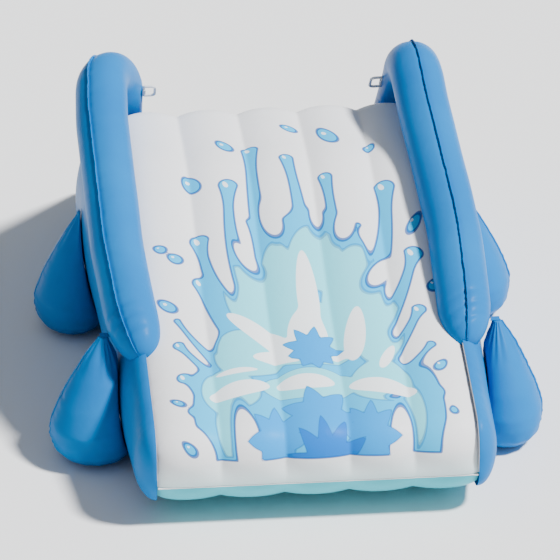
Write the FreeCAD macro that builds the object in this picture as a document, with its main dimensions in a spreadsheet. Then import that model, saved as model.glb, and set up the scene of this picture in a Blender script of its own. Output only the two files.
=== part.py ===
import FreeCAD, Part
import math
import os
import Sketcher

DIMENSIONS = [
    ("nose_y", -1665, "front of the lip"),
    ("nose_top", 402, "height where slide line and lip front would meet"),
    ("nose_bottom", 112, "height of the lip's lower front corner"),
    ("nose_round", 138, "rounding of the lip"),
    ("keel_y", -1180, "where the base starts to lift off the ground"),
    ("keel_round", 700, "rounding where the base lifts"),
    ("heel_y", 1500, "rear edge of the base"),
    ("heel_round", 110, "rounding of the rear edge of the base"),
    ("deck_rear_y", 650, "rear edge of the top deck"),
    ("deck_height", 850, "height of the top deck"),
    ("deck_front_y", 20, "front edge of the top deck"),
    ("deck_rear_round", 170, "rounding behind the deck"),
    ("deck_front_round", 1100, "rounding where the deck turns into the slide"),
    ("saddle_y", -820, "hollow of the slide"),
    ("saddle_height", 572, "height of the hollow"),
    ("saddle_round", 2200, "rounding of the hollow"),
    ("tube_count", 5, "air tubes across the bed"),
    ("tube_pitch", 267, "distance between tube seams"),
    ("web_gap", 0.6, "gap between two tubes that a tension web lies in"),
    ("web_film", 0.54, "thickness of a tension web"),
    ("web_inset", 78, "distance of a web's edge inside the outline's corners"),
    ("lobe_round", 34, "rounding of a tube along its seams"),
    ("side_swell", 120, "how far the outer tubes swell past the bed"),
    ("side_round", 112, "rounding of the swollen sides"),
    ("film", 0.8, "thickness of the vinyl sheets"),
    ("rail_radius", 112, "radius of a rail tube"),
    ("rail_out", 12.5, "distance of the rail plane outside the bed's side"),
    ("rail_toe", 2.1, "turn of the rails towards each other at the rear, degrees"),
    ("rail_front_y", -900, "start of the rail's full section"),
    ("rail_front_height", 566, "height of that start"),
    ("rail_bend_y", -350, "slight bend of the front leg"),
    ("rail_bend_height", 792, "height of that bend"),
    ("rail_bend_round", 2500, "radius of that bend"),
    ("rail_peak_y", 600, "corner of the rail's arch"),
    ("rail_peak_height", 1111, "height of that corner"),
    ("rail_peak_round", 330, "radius of the arch"),
    ("rail_foot_y", 1553, "end of the rear leg"),
    ("rail_foot_height", 76, "height of that end"),
    ("rail_tip_length", 190, "length of the tapered front tip"),
    ("rail_tip_radius", 26, "radius at the end of the tip"),
    ("rail_web_thickness", 14, "thickness of the panel under the rail"),
    ("step_count", 3, "climbing rolls"),
    ("step_radius", 80, "radius of a climbing roll"),
    ("step_rise", 220, "height from one roll to the next"),
    ("step_end_gap", 13, "room between a roll's end and the rail leg"),
    ("step_end_round", 36, "rounding of a roll's ends"),
    ("step_gap", 0.3, "room between a roll and the rear sheet"),
    ("bag_front_y", -960, "middle of the front ballast bags"),
    ("bag_rear_y", 280, "middle of the rear ballast bags"),
    ("bag_gap", 0.7, "room between a bag's belly and the side"),
    ("bag_half_width", 128, "half width of a bag's belly"),
    ("bag_half_depth", 190, "half depth of a bag's belly"),
    ("bag_height", 525, "height of a bag's apex"),
    ("bag_apex_shift", 84, "how far the apex leans towards the body"),
    ("bag_apex_lean", 60, "how far the apex lies behind the belly"),
    ("strap_width", 36, "width of a bag strap"),
    ("strap_thickness", 3, "thickness of a bag strap"),
    ("strap_lap", 15, "how far a strap laps the bag's apex"),
    ("filler_height", 250, "height of a bag's filler"),
    ("filler_radius", 14, "outer radius of a filler"),
    ("filler_bore", 9, "bore of a filler"),
    ("filler_length", 16, "length of a filler"),
    ("filler_depth", 163, "distance of a filler behind the bag's middle"),
    ("filler_shift", 16, "distance of a filler from the belly towards the body"),
    ("filler_fit", 0.3, "room around a filler in its bag"),
    ("plug_fit", 0.4, "clearance of a plug in its filler"),
    ("plug_head", 13, "radius of a plug's head"),
    ("plug_depth", 9, "depth of a plug in its filler"),
    ("plug_head_thickness", 3, "thickness of a plug's head"),
    ("valve_flange", 30, "radius of a valve flange"),
    ("valve_flange_thickness", 2, "thickness of a valve flange"),
    ("valve_neck", 15, "outer radius of a valve neck"),
    ("valve_bore", 11, "bore of a valve"),
    ("valve_rise", 6, "height of the neck over the seat"),
    ("valve_depth", 14, "depth of the neck below the seat"),
    ("valve_seat_bore", 8, "bore of the flap's seat"),
    ("valve_seat", 2, "thickness of the flap's seat"),
    ("valve_well", 46, "depth of the well behind a valve"),
    ("valve_recess", 10, "how deep a valve sits in a rail"),
    ("valve_gap", 0.5, "clearance between moving valve pieces"),
    ("well_gap", 1, "room around a valve's flange in its well"),
    ("flap_thickness", 2.4, "thickness of a check flap"),
    ("cap_radius", 17, "radius of a valve cap"),
    ("cap_thickness", 3, "thickness of a valve cap"),
    ("tab_root", 12, "distance of the hinge tab's root from the cap's middle"),
    ("tab_end", 23.5, "distance of the hinge tab's end from the cap's middle"),
    ("tab_half_width", 5, "half width of the hinge tab"),
    ("body_valve_y", 1050, "place of the body valve along the side"),
    ("body_valve_height", 260, "height of the body valve"),
    ("rail_valve_along", 330, "distance of a rail valve from the foot, along the leg"),
    ("handle_along", 1095, "distance of a handle from the foot, along the leg"),
    ("patch_length", 130, "length of a handle patch"),
    ("patch_width", 70, "width of a handle patch"),
    ("patch_thickness", 1.6, "thickness of a handle patch"),
    ("patch_recess", 6, "how deep a patch sits in the rail's round side"),
    ("patch_gap", 1, "room around a patch in its seat"),
    ("seat_height", 26, "height of the room cut free over a patch"),
    ("ring_wire", 6, "radius of the handle ring's bar"),
    ("ring_width", 96, "width of the handle ring, bar middle to middle"),
    ("ring_reach", 50, "reach of the handle ring, bar middle to middle"),
    ("ring_corner", 19, "corner radius of the handle ring"),
    ("ring_height", 10, "height of the ring's hinge over the patch"),
    ("ring_gap", 0.5, "clearance around the ring in its loop"),
    ("ring_eye_round", 7.2, "radius of the ring's corners beside its loop"),
    ("loop_length", 42, "length of the loop that holds the ring"),
    ("loop_wall", 3, "wall of that loop"),
    ("spray_y", 470, "place of the water inlet along the rail"),
    ("spray_height", 912, "height of the water inlet"),
    ("spray_stem", 10, "radius of the inlet's stem"),
    ("spray_flange", 21, "radius of the sprayer's flange"),
    ("spray_fit", 0.3, "clearance around the stem"),
    ("spray_head", 15, "length of the sprayer's head"),
    ("spray_step", 3, "thickness of the sprayer's flange"),
    ("spray_mouth", 9, "radius of the sprayer's mouth"),
    ("nut_radius", 18, "radius of the lock nut"),
    ("nut_length", 8, "length of the lock nut"),
    ("inlet_radius", 16, "outer radius of the inlet's collar"),
    ("inlet_bore", 6, "water way through the inlet"),
    ("inlet_length", 18, "length of the inlet"),
    ("inlet_collar", 5, "length of the inlet's collar"),
    ("inlet_lip", 4, "length of the inlet's retaining lip"),
    ("inlet_lip_radius", 12.2, "radius of that lip"),
    ("swivel_radius", 19, "outer radius of the swivel nut"),
    ("swivel_bore", 13.2, "bore that takes a garden hose"),
    ("swivel_length", 26, "length of the swivel nut"),
    ("swivel_start", 6, "distance of the swivel nut from the lock nut"),
    ("swivel_shoulder", 3, "thickness of the swivel nut's inner shoulder"),
    ("swivel_neck", 10.6, "bore of that shoulder"),
    ("swivel_chamber", 12.9, "bore around the inlet's lip"),
    ("washer_thickness", 3, "thickness of the hose washer"),
    ("washer_radius", 12.6, "outer radius of the hose washer"),
]

doc = FreeCAD.newDocument("pool_slide")
sheet = doc.addObject("Spreadsheet::Sheet", "Dims")
for row, (alias, value, meaning) in enumerate(DIMENSIONS, start=1):
    sheet.set("A%d" % row, meaning)
    sheet.set("B%d" % row, str(value))
    sheet.setAlias("B%d" % row, alias)
doc.recompute()
finished = []

# Places closer than this, in mm, count as the same.
TOUCH = 0.01
SIDES = [("left", -1), ("right", 1)]
ENDS = [("front", "bag_front_y"), ("rear", "bag_rear_y")]


def size(alias):
    """Reads one driving dimension from the sheet."""
    return float(sheet.get(alias))


def number(expression):
    """Works out an expression of sheet cells."""
    return float(sheet.evalExpression(expression.replace("Dims.", "")))


def origin_plane(body, role):
    """Finds one of a body's own origin planes."""
    return next(item for item in body.Origin.OriginFeatures if item.Role == role)


def new_body(label):
    """Starts a PartDesign body that carries a sub-part's name."""
    body = doc.addObject("PartDesign::Body", label)
    body.Label = label
    return body


def outline_sketch(body, role, corners):
    """Adds a sketch of a closed polygon on one of a body's planes."""
    sketch = body.newObject("Sketcher::SketchObject", body.Name + "_outline")
    sketch.AttachmentSupport = (origin_plane(body, role), [""])
    sketch.MapMode = "FlatFace"
    tie_polygon(sketch, corners)
    return sketch


def tie_polygon(sketch, corners):
    """Draws a closed polygon in a sketch and ties each corner to the sheet."""
    points = [FreeCAD.Vector(number(across), number(up), 0) for across, up in corners]
    count = len(points)
    for index in range(count):
        sketch.addGeometry(Part.LineSegment(points[index], points[(index + 1) % count]), False)
    for index in range(count):
        sketch.addConstraint(Sketcher.Constraint("Coincident", index, 2, (index + 1) % count, 1))
    for index, (across, up) in enumerate(corners):
        for kind, value, text in (("DistanceX", points[index].x, across), ("DistanceY", points[index].y, up)):
            place = sketch.addConstraint(Sketcher.Constraint(kind, -1, 1, index, 1, value))
            sketch.setExpression("Constraints[%d]" % place, text)


def pad(body, sketch, length):
    """Pads a sketch by an expression of the sheet."""
    feature = body.newObject("PartDesign::Pad", body.Name + "_pad")
    feature.Profile = sketch
    feature.setExpression("Length", length)
    body.Tip = feature
    doc.recompute()
    return feature


def turn(body, sketch):
    """Revolves a sketch fully about its own vertical axis."""
    feature = body.newObject("PartDesign::Revolution", body.Name + "_turn")
    feature.Profile = sketch
    feature.ReferenceAxis = (sketch, ["V_Axis"])
    feature.Angle = 360
    body.Tip = feature
    doc.recompute()
    return feature


def fillet(body, edges, radius):
    """Rounds named edges of the body's last feature."""
    base = body.Tip
    feature = body.newObject("PartDesign::Fillet", body.Name + "_round")
    feature.Base = (base, edges)
    feature.setExpression("Radius", radius)
    body.Tip = feature
    doc.recompute()
    return feature


def edges_where(shape, test):
    """Names the edges of a shape that pass a test."""
    return ["Edge%d" % (n + 1) for n, edge in enumerate(shape.Edges) if test(edge)]


def faces_where(shape, test):
    """Names the faces of a shape that pass a test."""
    return ["Face%d" % (n + 1) for n, face in enumerate(shape.Faces) if test(face)]


def keep(item):
    """Marks an object as a finished sub-part."""
    finished.append(item)
    return item


def boolean(kind, label, base, tool):
    """Makes a named boolean of two objects."""
    item = doc.addObject(kind, label)
    item.Label = label
    item.Base = base
    item.Tool = tool
    doc.recompute()
    return item


def place_by(item, values, rotation=None):
    """Places an object by expressions for x, y and z, and turns it."""
    if rotation is not None:
        item.Placement = FreeCAD.Placement(FreeCAD.Vector(), rotation)
    for axis, text in zip("xyz", values):
        item.setExpression(".Placement.Base." + axis, text)


# The side outline of the body, seen from the right: front of the lip on the left hand.
OUTLINE = [
    ("Dims.nose_y", "Dims.nose_bottom"),
    ("Dims.keel_y", "Dims.film"),
    ("Dims.heel_y", "Dims.film"),
    ("Dims.deck_rear_y", "Dims.deck_height"),
    ("Dims.deck_front_y", "Dims.deck_height"),
    ("Dims.saddle_y", "Dims.saddle_height"),
    ("Dims.nose_y", "Dims.nose_top"),
]
ROUNDS = ["nose_round", "keel_round", "heel_round", "deck_rear_round", "deck_front_round",
          "saddle_round", "nose_round"]


def outline_body(label, width, start):
    """Builds a slab of the body's side outline, with its corners rounded."""
    body = new_body(label)
    sketch = outline_sketch(body, "YZ_Plane", OUTLINE)
    pad(body, sketch, width)
    for (across, up), rounding in zip(OUTLINE, ROUNDS):
        corner = (number(across), number(up))

        def along_corner(edge):
            return all(math.hypot(v.Y - corner[0], v.Z - corner[1]) < TOUCH for v in edge.Vertexes)

        fillet(body, edges_where(body.Tip.Shape, along_corner), "Dims." + rounding)
    place_by(body, (start, "0", "0"))
    doc.recompute()
    return body


def end_edges(body, along):
    """Names the edges of a slab that lie in the plane across at one distance."""
    def in_plane(edge):
        box = edge.BoundBox
        return abs(box.XMin - along) < TOUCH and abs(box.XMax - along) < TOUCH

    return edges_where(body.Tip.Shape, in_plane)


def rounded_route(points, radii):
    """Joins straight runs by tangent arcs; a radius of None leaves an end."""
    edges = []
    start = points[0]
    for index in range(1, len(points) - 1):
        corner = points[index]
        back = (points[index - 1] - corner).normalize()
        ahead = (points[index + 1] - corner).normalize()
        half = back.getAngle(ahead) / 2
        reach = radii[index] / math.tan(half)
        inward = (back + ahead).normalize()
        middle = corner + inward * (radii[index] / math.sin(half) - radii[index])
        first = corner + back * reach
        last = corner + ahead * reach
        edges.append(Part.makeLine(start, first))
        edges.append(Part.Arc(first, middle, last).toShape())
        start = last
    edges.append(Part.makeLine(start, points[-1]))
    return Part.Wire(edges)


def drop_shape(label, shape, placement=None):
    """Stores a worked-out shape as a document object."""
    item = doc.addObject("Part::Feature", label)
    item.Label = label
    item.Shape = shape
    if placement is not None:
        item.Placement = placement
    return item


# ---------------------------------------------------------------- bed
BED_WIDTH = "Dims.tube_count * Dims.tube_pitch"
RAIL_OFFSET = "(%s / 2 + Dims.rail_out)" % BED_WIDTH
OUTER_SIDE = "(%s / 2 + Dims.side_swell + Dims.film)" % BED_WIDTH
BAG_MIDDLE = "(%s + Dims.bag_gap + Dims.bag_half_width)" % OUTER_SIDE
STEP_LENGTH = "2 * (%s - Dims.heel_y * sin(%s) - Dims.rail_radius - Dims.step_end_gap)" % (
    RAIL_OFFSET, "Dims.rail_toe * 1 deg")


def build_bed():
    """Air tubes side by side, tension webs between them."""
    count = int(size("tube_count"))
    tubes = []
    for index in range(count):
        label = "bed_tube_%d" % (index + 1)
        seam = "(%d - Dims.tube_count / 2) * Dims.tube_pitch" % index
        first = index == 0
        last = index == count - 1
        swell_before = "Dims.side_swell" if first else "0"
        swell_after = "Dims.side_swell" if last else "0"
        width = "Dims.tube_pitch - Dims.web_gap + (%s) + (%s)" % (swell_before, swell_after)
        start = seam + " + Dims.web_gap / 2 - (%s)" % swell_before
        body = outline_body(label, width, start)
        near = "Dims.side_round" if first else "Dims.lobe_round"
        far = "Dims.side_round" if last else "Dims.lobe_round"
        fillet(body, end_edges(body, 0), near)
        fillet(body, end_edges(body, number(width)), far)
        tubes.append(body)
    for index in range(count - 1):
        plan = doc.addObject("Sketcher::SketchObject", "web_outline_%d" % (index + 1))
        tie_polygon(plan, OUTLINE)
        inner = doc.addObject("Part::Offset2D", "web_inset_%d" % (index + 1))
        inner.Source = plan
        inner.setExpression("Value", "-Dims.web_inset")
        film = doc.addObject("Part::Extrusion", "web_%d" % (index + 1))
        film.Label = film.Name
        film.Base = inner
        film.DirMode = "Custom"
        film.Dir = FreeCAD.Vector(0, 0, 1)
        film.setExpression("LengthFwd", "Dims.web_film")
        film.Solid = True
        upright = FreeCAD.Rotation(FreeCAD.Vector(1, 1, 1), 120)
        seam = "(%d - Dims.tube_count / 2) * Dims.tube_pitch - Dims.web_film / 2" % (index + 1)
        place_by(film, (seam, "0", "0"), upright)
        keep(film)
    doc.recompute()
    return tubes


# Parts of a face's outward normal that tell base, slide and rear apart.
LEVEL = 0.1
STEEP = 0.6
SHEET_TOLERANCE = 0.001


def covering(label, outline, wanted):
    """A vinyl sheet over those faces of the bed's outline that pass a test."""
    covered = Part.makeShell([face for face in outline.Shape.Faces if wanted(face)])
    return keep(drop_shape(label, covered.makeOffsetShape(size("film"), SHEET_TOLERANCE, fill=True)))


def is_side(face):
    """True for the flat end faces of an outline slab."""
    return abs(face.normalAt(0, 0).x) > STEEP


def middle_of(face):
    """Centre of a face and its outward normal there."""
    spot = face.CenterOfMass
    u, v = face.Surface.parameter(spot)
    return spot, face.normalAt(u, v)


def on_slide(face):
    """True for the faces that a rider passes: deck, slope and front of the lip."""
    normal = middle_of(face)[1]
    return not is_side(face) and normal.z > -LEVEL and normal.y < STEEP


def on_base(face):
    """True for the ground faces and the lower lip."""
    normal = middle_of(face)[1]
    return not is_side(face) and normal.z < -LEVEL and normal.y < STEEP


def on_rear(face):
    """True for the flat sloping rear face."""
    spot, normal = middle_of(face)
    below_deck = spot.z < size("deck_height") - size("deck_rear_round")
    return not is_side(face) and normal.z > LEVEL and normal.y > STEEP and below_deck


tubes = build_bed()
bed_outline = outline_body("bed_outline", BED_WIDTH, "-(%s) / 2" % BED_WIDTH)
covering("sliding_sheet", bed_outline, on_slide)
covering("underside_sheet", bed_outline, on_base)
covering("rear_sheet", bed_outline, on_rear)
core = outline_body("bed_envelope", BED_WIDTH + " + 2 * Dims.side_swell",
                    "-(%s) / 2 - Dims.side_swell" % BED_WIDTH)


# ---------------------------------------------------------------- rails
# Side of the block that trims a rail at the ground, in rail radii.
GROUND_BLOCK = 8


def rail_points():
    """Corners of the rail's middle line in its own upright plane."""
    names = [("rail_front_y", "rail_front_height"), ("rail_bend_y", "rail_bend_height"),
             ("rail_peak_y", "rail_peak_height"), ("rail_foot_y", "rail_foot_height")]
    return [FreeCAD.Vector(0, size(across), size(up)) for across, up in names]


def rail_placement(side):
    """Where a rail's plane stands: out from the middle, toed in to the rear."""
    turned = FreeCAD.Rotation(FreeCAD.Vector(0, 0, 1), side * size("rail_toe"))
    return FreeCAD.Placement(FreeCAD.Vector(side * number(RAIL_OFFSET), 0, 0), turned)


def along_leg(distance):
    """Point on the rear leg's middle line, measured up from its foot."""
    points = rail_points()
    upward = (points[2] - points[3]).normalize()
    return points[3] + upward * distance, upward


def build_rail_tube(side_name, side):
    """Arched tube with a tapered front tip, cut flat at the ground."""
    points = rail_points()
    route = doc.addObject("Part::Feature", "rail_route_" + side_name)
    route.Shape = rounded_route(points, [None, size("rail_bend_round"), size("rail_peak_round"), None])
    ring = doc.addObject("Part::Circle", "rail_section_" + side_name)
    ring.setExpression("Radius", "Dims.rail_radius")
    forward = (points[0] - points[1]).normalize()
    facing = FreeCAD.Rotation(FreeCAD.Vector(0, 0, 1), forward)
    ring.Placement = FreeCAD.Placement(points[0], facing)
    tube = doc.addObject("Part::Sweep", "rail_sweep_" + side_name)
    tube.Sections = [ring]
    tube.Spine = (route, ["Edge%d" % (n + 1) for n in range(len(route.Shape.Edges))])
    tube.Solid = True
    tube.Frenet = False
    tip = doc.addObject("Part::Cone", "rail_tip_" + side_name)
    tip.setExpression("Radius1", "Dims.rail_radius")
    tip.setExpression("Radius2", "Dims.rail_tip_radius")
    tip.setExpression("Height", "Dims.rail_tip_length")
    tip.Placement = FreeCAD.Placement(points[0], facing)
    doc.recompute()
    whole = boolean("Part::Fuse", "rail_whole_" + side_name, tube, tip)
    ground = doc.addObject("Part::Box", "ground_" + side_name)
    block = GROUND_BLOCK * size("rail_radius")
    ground.Length = block
    ground.Width = block
    ground.Height = block
    foot = points[3]
    ground.Placement.Base = FreeCAD.Vector(-block / 2, foot.y - block / 2, -block)
    rail = boolean("Part::Cut", "rail_blank_" + side_name, whole, ground)
    rail.Placement = rail_placement(side)
    doc.recompute()
    return rail


def build_rail_web(side_name, side, tube):
    """Flat panel that closes the arch between the rail and the bed."""
    body = new_body("rail_web_blank_" + side_name)
    corners = [("Dims.rail_front_y", "Dims.rail_front_height"), ("Dims.rail_bend_y", "Dims.rail_bend_height"),
               ("Dims.rail_peak_y", "Dims.rail_peak_height"), ("Dims.rail_foot_y", "Dims.rail_foot_height")]
    sketch = outline_sketch(body, "YZ_Plane", corners)
    feature = pad(body, sketch, "Dims.rail_web_thickness")
    feature.Midplane = True
    body.Placement = rail_placement(side)
    doc.recompute()
    panel = boolean("Part::Cut", "rail_web_trim_" + side_name, body, tube)
    over_bed = boolean("Part::Cut", "rail_web_over_bed_" + side_name, panel, core)
    return boolean("Part::Cut", "rail_web_over_sheets_" + side_name, over_bed, sheets)


def side_frame(side, outward):
    """Rotation that turns local +Z to face out of (or into) the slide's side."""
    direction = FreeCAD.Vector(side if outward else -side, 0, 0)
    toe = FreeCAD.Rotation(FreeCAD.Vector(0, 0, 1), side * size("rail_toe"))
    upright = FreeCAD.Rotation(direction.cross(FreeCAD.Vector(0, 0, 1)).negative(), FreeCAD.Vector(0, 0, 1),
                               direction, "ZXY")
    return toe.multiply(upright)


def leg_frame(side, outward):
    """Same facing, with local +X up along the rear leg."""
    upward = along_leg(0)[1]
    facing = FreeCAD.Vector(side if outward else -side, 0, 0)
    toe = FreeCAD.Rotation(FreeCAD.Vector(0, 0, 1), side * size("rail_toe"))
    local = FreeCAD.Rotation(upward, facing.cross(upward), facing, "ZXY")
    return toe.multiply(local)


def on_rail(side, point, outward_distance):
    """World place of a point of the rail's plane, moved sideways from it."""
    local = FreeCAD.Vector(side * outward_distance, point.y, point.z)
    return rail_placement(side).multVec(local)


# ---------------------------------------------------------------- valves
def build_valve(name, placement):
    """Flanged neck with a seat, an inner check flap and a hinged cap."""
    neck = new_body(name + "_valve_base")
    turn(neck, outline_sketch(neck, "XZ_Plane", [
        ("Dims.valve_seat_bore", "-Dims.valve_depth"),
        ("Dims.valve_neck", "-Dims.valve_depth"),
        ("Dims.valve_neck", "0"),
        ("Dims.valve_flange", "0"),
        ("Dims.valve_flange", "Dims.valve_flange_thickness"),
        ("Dims.valve_neck", "Dims.valve_flange_thickness"),
        ("Dims.valve_neck", "Dims.valve_rise"),
        ("Dims.valve_bore", "Dims.valve_rise"),
        ("Dims.valve_bore", "Dims.valve_seat - Dims.valve_depth"),
        ("Dims.valve_seat_bore", "Dims.valve_seat - Dims.valve_depth"),
    ]))
    flap = new_body(name + "_check_flap")
    turn(flap, outline_sketch(flap, "XZ_Plane", [
        ("0", "-Dims.valve_depth - Dims.valve_gap - Dims.flap_thickness"),
        ("Dims.valve_bore", "-Dims.valve_depth - Dims.valve_gap - Dims.flap_thickness"),
        ("Dims.valve_bore", "-Dims.valve_depth - Dims.valve_gap"),
        ("0", "-Dims.valve_depth - Dims.valve_gap"),
    ]))
    cap = new_body(name + "_valve_cap")
    turn(cap, outline_sketch(cap, "XZ_Plane", [
        ("0", "Dims.valve_rise + Dims.valve_gap"),
        ("Dims.cap_radius", "Dims.valve_rise + Dims.valve_gap"),
        ("Dims.cap_radius", "Dims.valve_rise + Dims.valve_gap + Dims.cap_thickness"),
        ("0", "Dims.valve_rise + Dims.valve_gap + Dims.cap_thickness"),
    ]))
    tab = outline_sketch(cap, "XY_Plane", [
        ("Dims.tab_root", "-Dims.tab_half_width"),
        ("Dims.tab_end", "-Dims.tab_half_width"),
        ("Dims.tab_end", "Dims.tab_half_width"),
        ("Dims.tab_root", "Dims.tab_half_width"),
    ])
    tab.setExpression(".AttachmentOffset.Base.z", "Dims.valve_rise + Dims.valve_gap")
    pad(cap, tab, "Dims.cap_thickness")
    for piece in (neck, flap, cap):
        piece.Placement = placement
        keep(piece)
    doc.recompute()


def valve_well(name, placement, seat_above):
    """Round well behind a valve, with the room above its seat."""
    well = doc.addObject("Part::Cylinder", name + "_well")
    well.setExpression("Radius", "Dims.valve_flange + Dims.well_gap")
    well.setExpression("Height", "Dims.valve_well + %s" % seat_above)
    floor = FreeCAD.Placement(FreeCAD.Vector(0, 0, -size("valve_well")), FreeCAD.Rotation())
    well.Placement = placement.multiply(floor)
    doc.recompute()
    return well


def build_body_valve():
    """The body chamber's valve in the left side, and the well behind it."""
    spot = FreeCAD.Vector(-number(OUTER_SIDE), size("body_valve_y"), size("body_valve_height"))
    facing = FreeCAD.Rotation(FreeCAD.Vector(0, 0, 1), FreeCAD.Vector(0, 1, 0), FreeCAD.Vector(-1, 0, 0), "ZXY")
    placement = FreeCAD.Placement(spot, facing)
    build_valve("body", placement)
    return valve_well("body", placement, "Dims.film")


def build_side_walls():
    """Vinyl sheets on the flat outer sides of the bed; the left one holds the body valve."""
    well = build_body_valve()
    for (side_name, side), tube in zip(SIDES, (tubes[0], tubes[-1])):
        flat = next(face for face in tube.Shape.Faces
                    if is_side(face) and abs(face.BoundBox.XLength) < TOUCH
                    and abs(face.CenterOfMass.x) > number(BED_WIDTH) / 2)
        film = FreeCAD.Vector(side * size("film"), 0, 0)
        wall = drop_shape("side_wall_blank_" + side_name, flat.extrude(film))
        if side_name == "left":
            wall = boolean("Part::Cut", "side_wall_opened_left", wall, well)
        wall.Label = "side_wall_" + side_name
        keep(wall)
    tubes[0].Label = "bed_tube_blank_1"
    tubes[0] = boolean("Part::Cut", "bed_tube_opened_1", tubes[0], well)
    tubes[0].Label = "bed_tube_1"
    for tube in tubes:
        keep(tube)


# ---------------------------------------------------------------- handles
def build_handle(side_name, placement):
    """Welded patch, moulded loop and the D ring that swings in it."""
    patch = new_body("handle_patch_" + side_name)
    half_length = "Dims.patch_length / 2"
    half_width = "Dims.patch_width / 2"
    pad(patch, outline_sketch(patch, "XY_Plane", [
        ("-" + half_length, "-" + half_width), (half_length, "-" + half_width),
        (half_length, half_width), ("-" + half_length, half_width)]), "Dims.patch_thickness")
    corners = edges_where(patch.Tip.Shape, lambda edge: edge.BoundBox.ZLength > TOUCH)
    fillet(patch, corners, "Dims.patch_width / 3")
    loop = new_body("handle_loop_" + side_name)
    bar_hole = size("ring_wire") + size("ring_gap")
    outer = size("ring_height") + bar_hole + size("loop_wall")
    block = outline_sketch(loop, "YZ_Plane", [
        ("-(Dims.ring_wire + Dims.ring_gap + Dims.loop_wall)", "Dims.patch_thickness"),
        ("Dims.ring_wire + Dims.ring_gap + Dims.loop_wall", "Dims.patch_thickness"),
        ("Dims.ring_wire + Dims.ring_gap + Dims.loop_wall",
         "Dims.ring_height + Dims.ring_wire + Dims.ring_gap + Dims.loop_wall"),
        ("-(Dims.ring_wire + Dims.ring_gap + Dims.loop_wall)",
         "Dims.ring_height + Dims.ring_wire + Dims.ring_gap + Dims.loop_wall")])
    feature = pad(loop, block, "Dims.loop_length")
    feature.Midplane = True
    doc.recompute()
    top = edges_where(loop.Tip.Shape, lambda edge: edge.BoundBox.XLength > size("ring_wire")
                      and abs(edge.BoundBox.ZMin - outer) < TOUCH)
    fillet(loop, top, "Dims.ring_wire")
    bore = doc.addObject("Part::Cylinder", "handle_bore_" + side_name)
    bore.setExpression("Radius", "Dims.ring_wire + Dims.ring_gap")
    bore.setExpression("Height", "Dims.loop_length * 2")
    bore.Placement = FreeCAD.Placement(FreeCAD.Vector(-size("loop_length"), 0, size("ring_height")),
                                       FreeCAD.Rotation(FreeCAD.Vector(0, 1, 0), 90))
    doc.recompute()
    loop.Label = "handle_loop_blank_" + side_name
    bored = boolean("Part::Cut", "handle_loop_bored_" + side_name, loop, bore)
    bored.Label = "handle_loop_" + side_name
    half = size("ring_width") / 2
    low = size("ring_height")
    high = low + size("ring_reach")
    corner = size("ring_corner")
    stops = [FreeCAD.Vector(x, 0, z) for x, z in
             ((0, low), (half, low), (half, high), (-half, high), (-half, low), (0, low))]
    tight = size("ring_eye_round")
    route = doc.addObject("Part::Feature", "ring_route_" + side_name)
    route.Shape = rounded_route(stops, [None, tight, corner, corner, tight, None])
    section = doc.addObject("Part::Circle", "ring_section_" + side_name)
    section.setExpression("Radius", "Dims.ring_wire")
    section.Placement = FreeCAD.Placement(stops[0], FreeCAD.Rotation(FreeCAD.Vector(0, 1, 0), 90))
    ring = doc.addObject("Part::Sweep", "handle_ring_" + side_name)
    ring.Label = ring.Name
    ring.Sections = [section]
    ring.Spine = (route, ["Edge%d" % (n + 1) for n in range(len(route.Shape.Edges))])
    ring.Solid = True
    doc.recompute()
    for piece in (patch, bored, ring):
        piece.Placement = placement
        keep(piece)
    seat = doc.addObject("Part::Box", "handle_seat_" + side_name)
    seat.setExpression("Length", "Dims.patch_length + 2 * Dims.patch_gap")
    seat.setExpression("Width", "Dims.patch_width + 2 * Dims.patch_gap")
    seat.setExpression("Height", "Dims.seat_height")
    doc.recompute()
    centring = FreeCAD.Vector(-seat.Length.Value / 2, -seat.Width.Value / 2, 0)
    seat.Placement = placement.multiply(FreeCAD.Placement(centring, FreeCAD.Rotation()))
    doc.recompute()
    return seat


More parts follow.
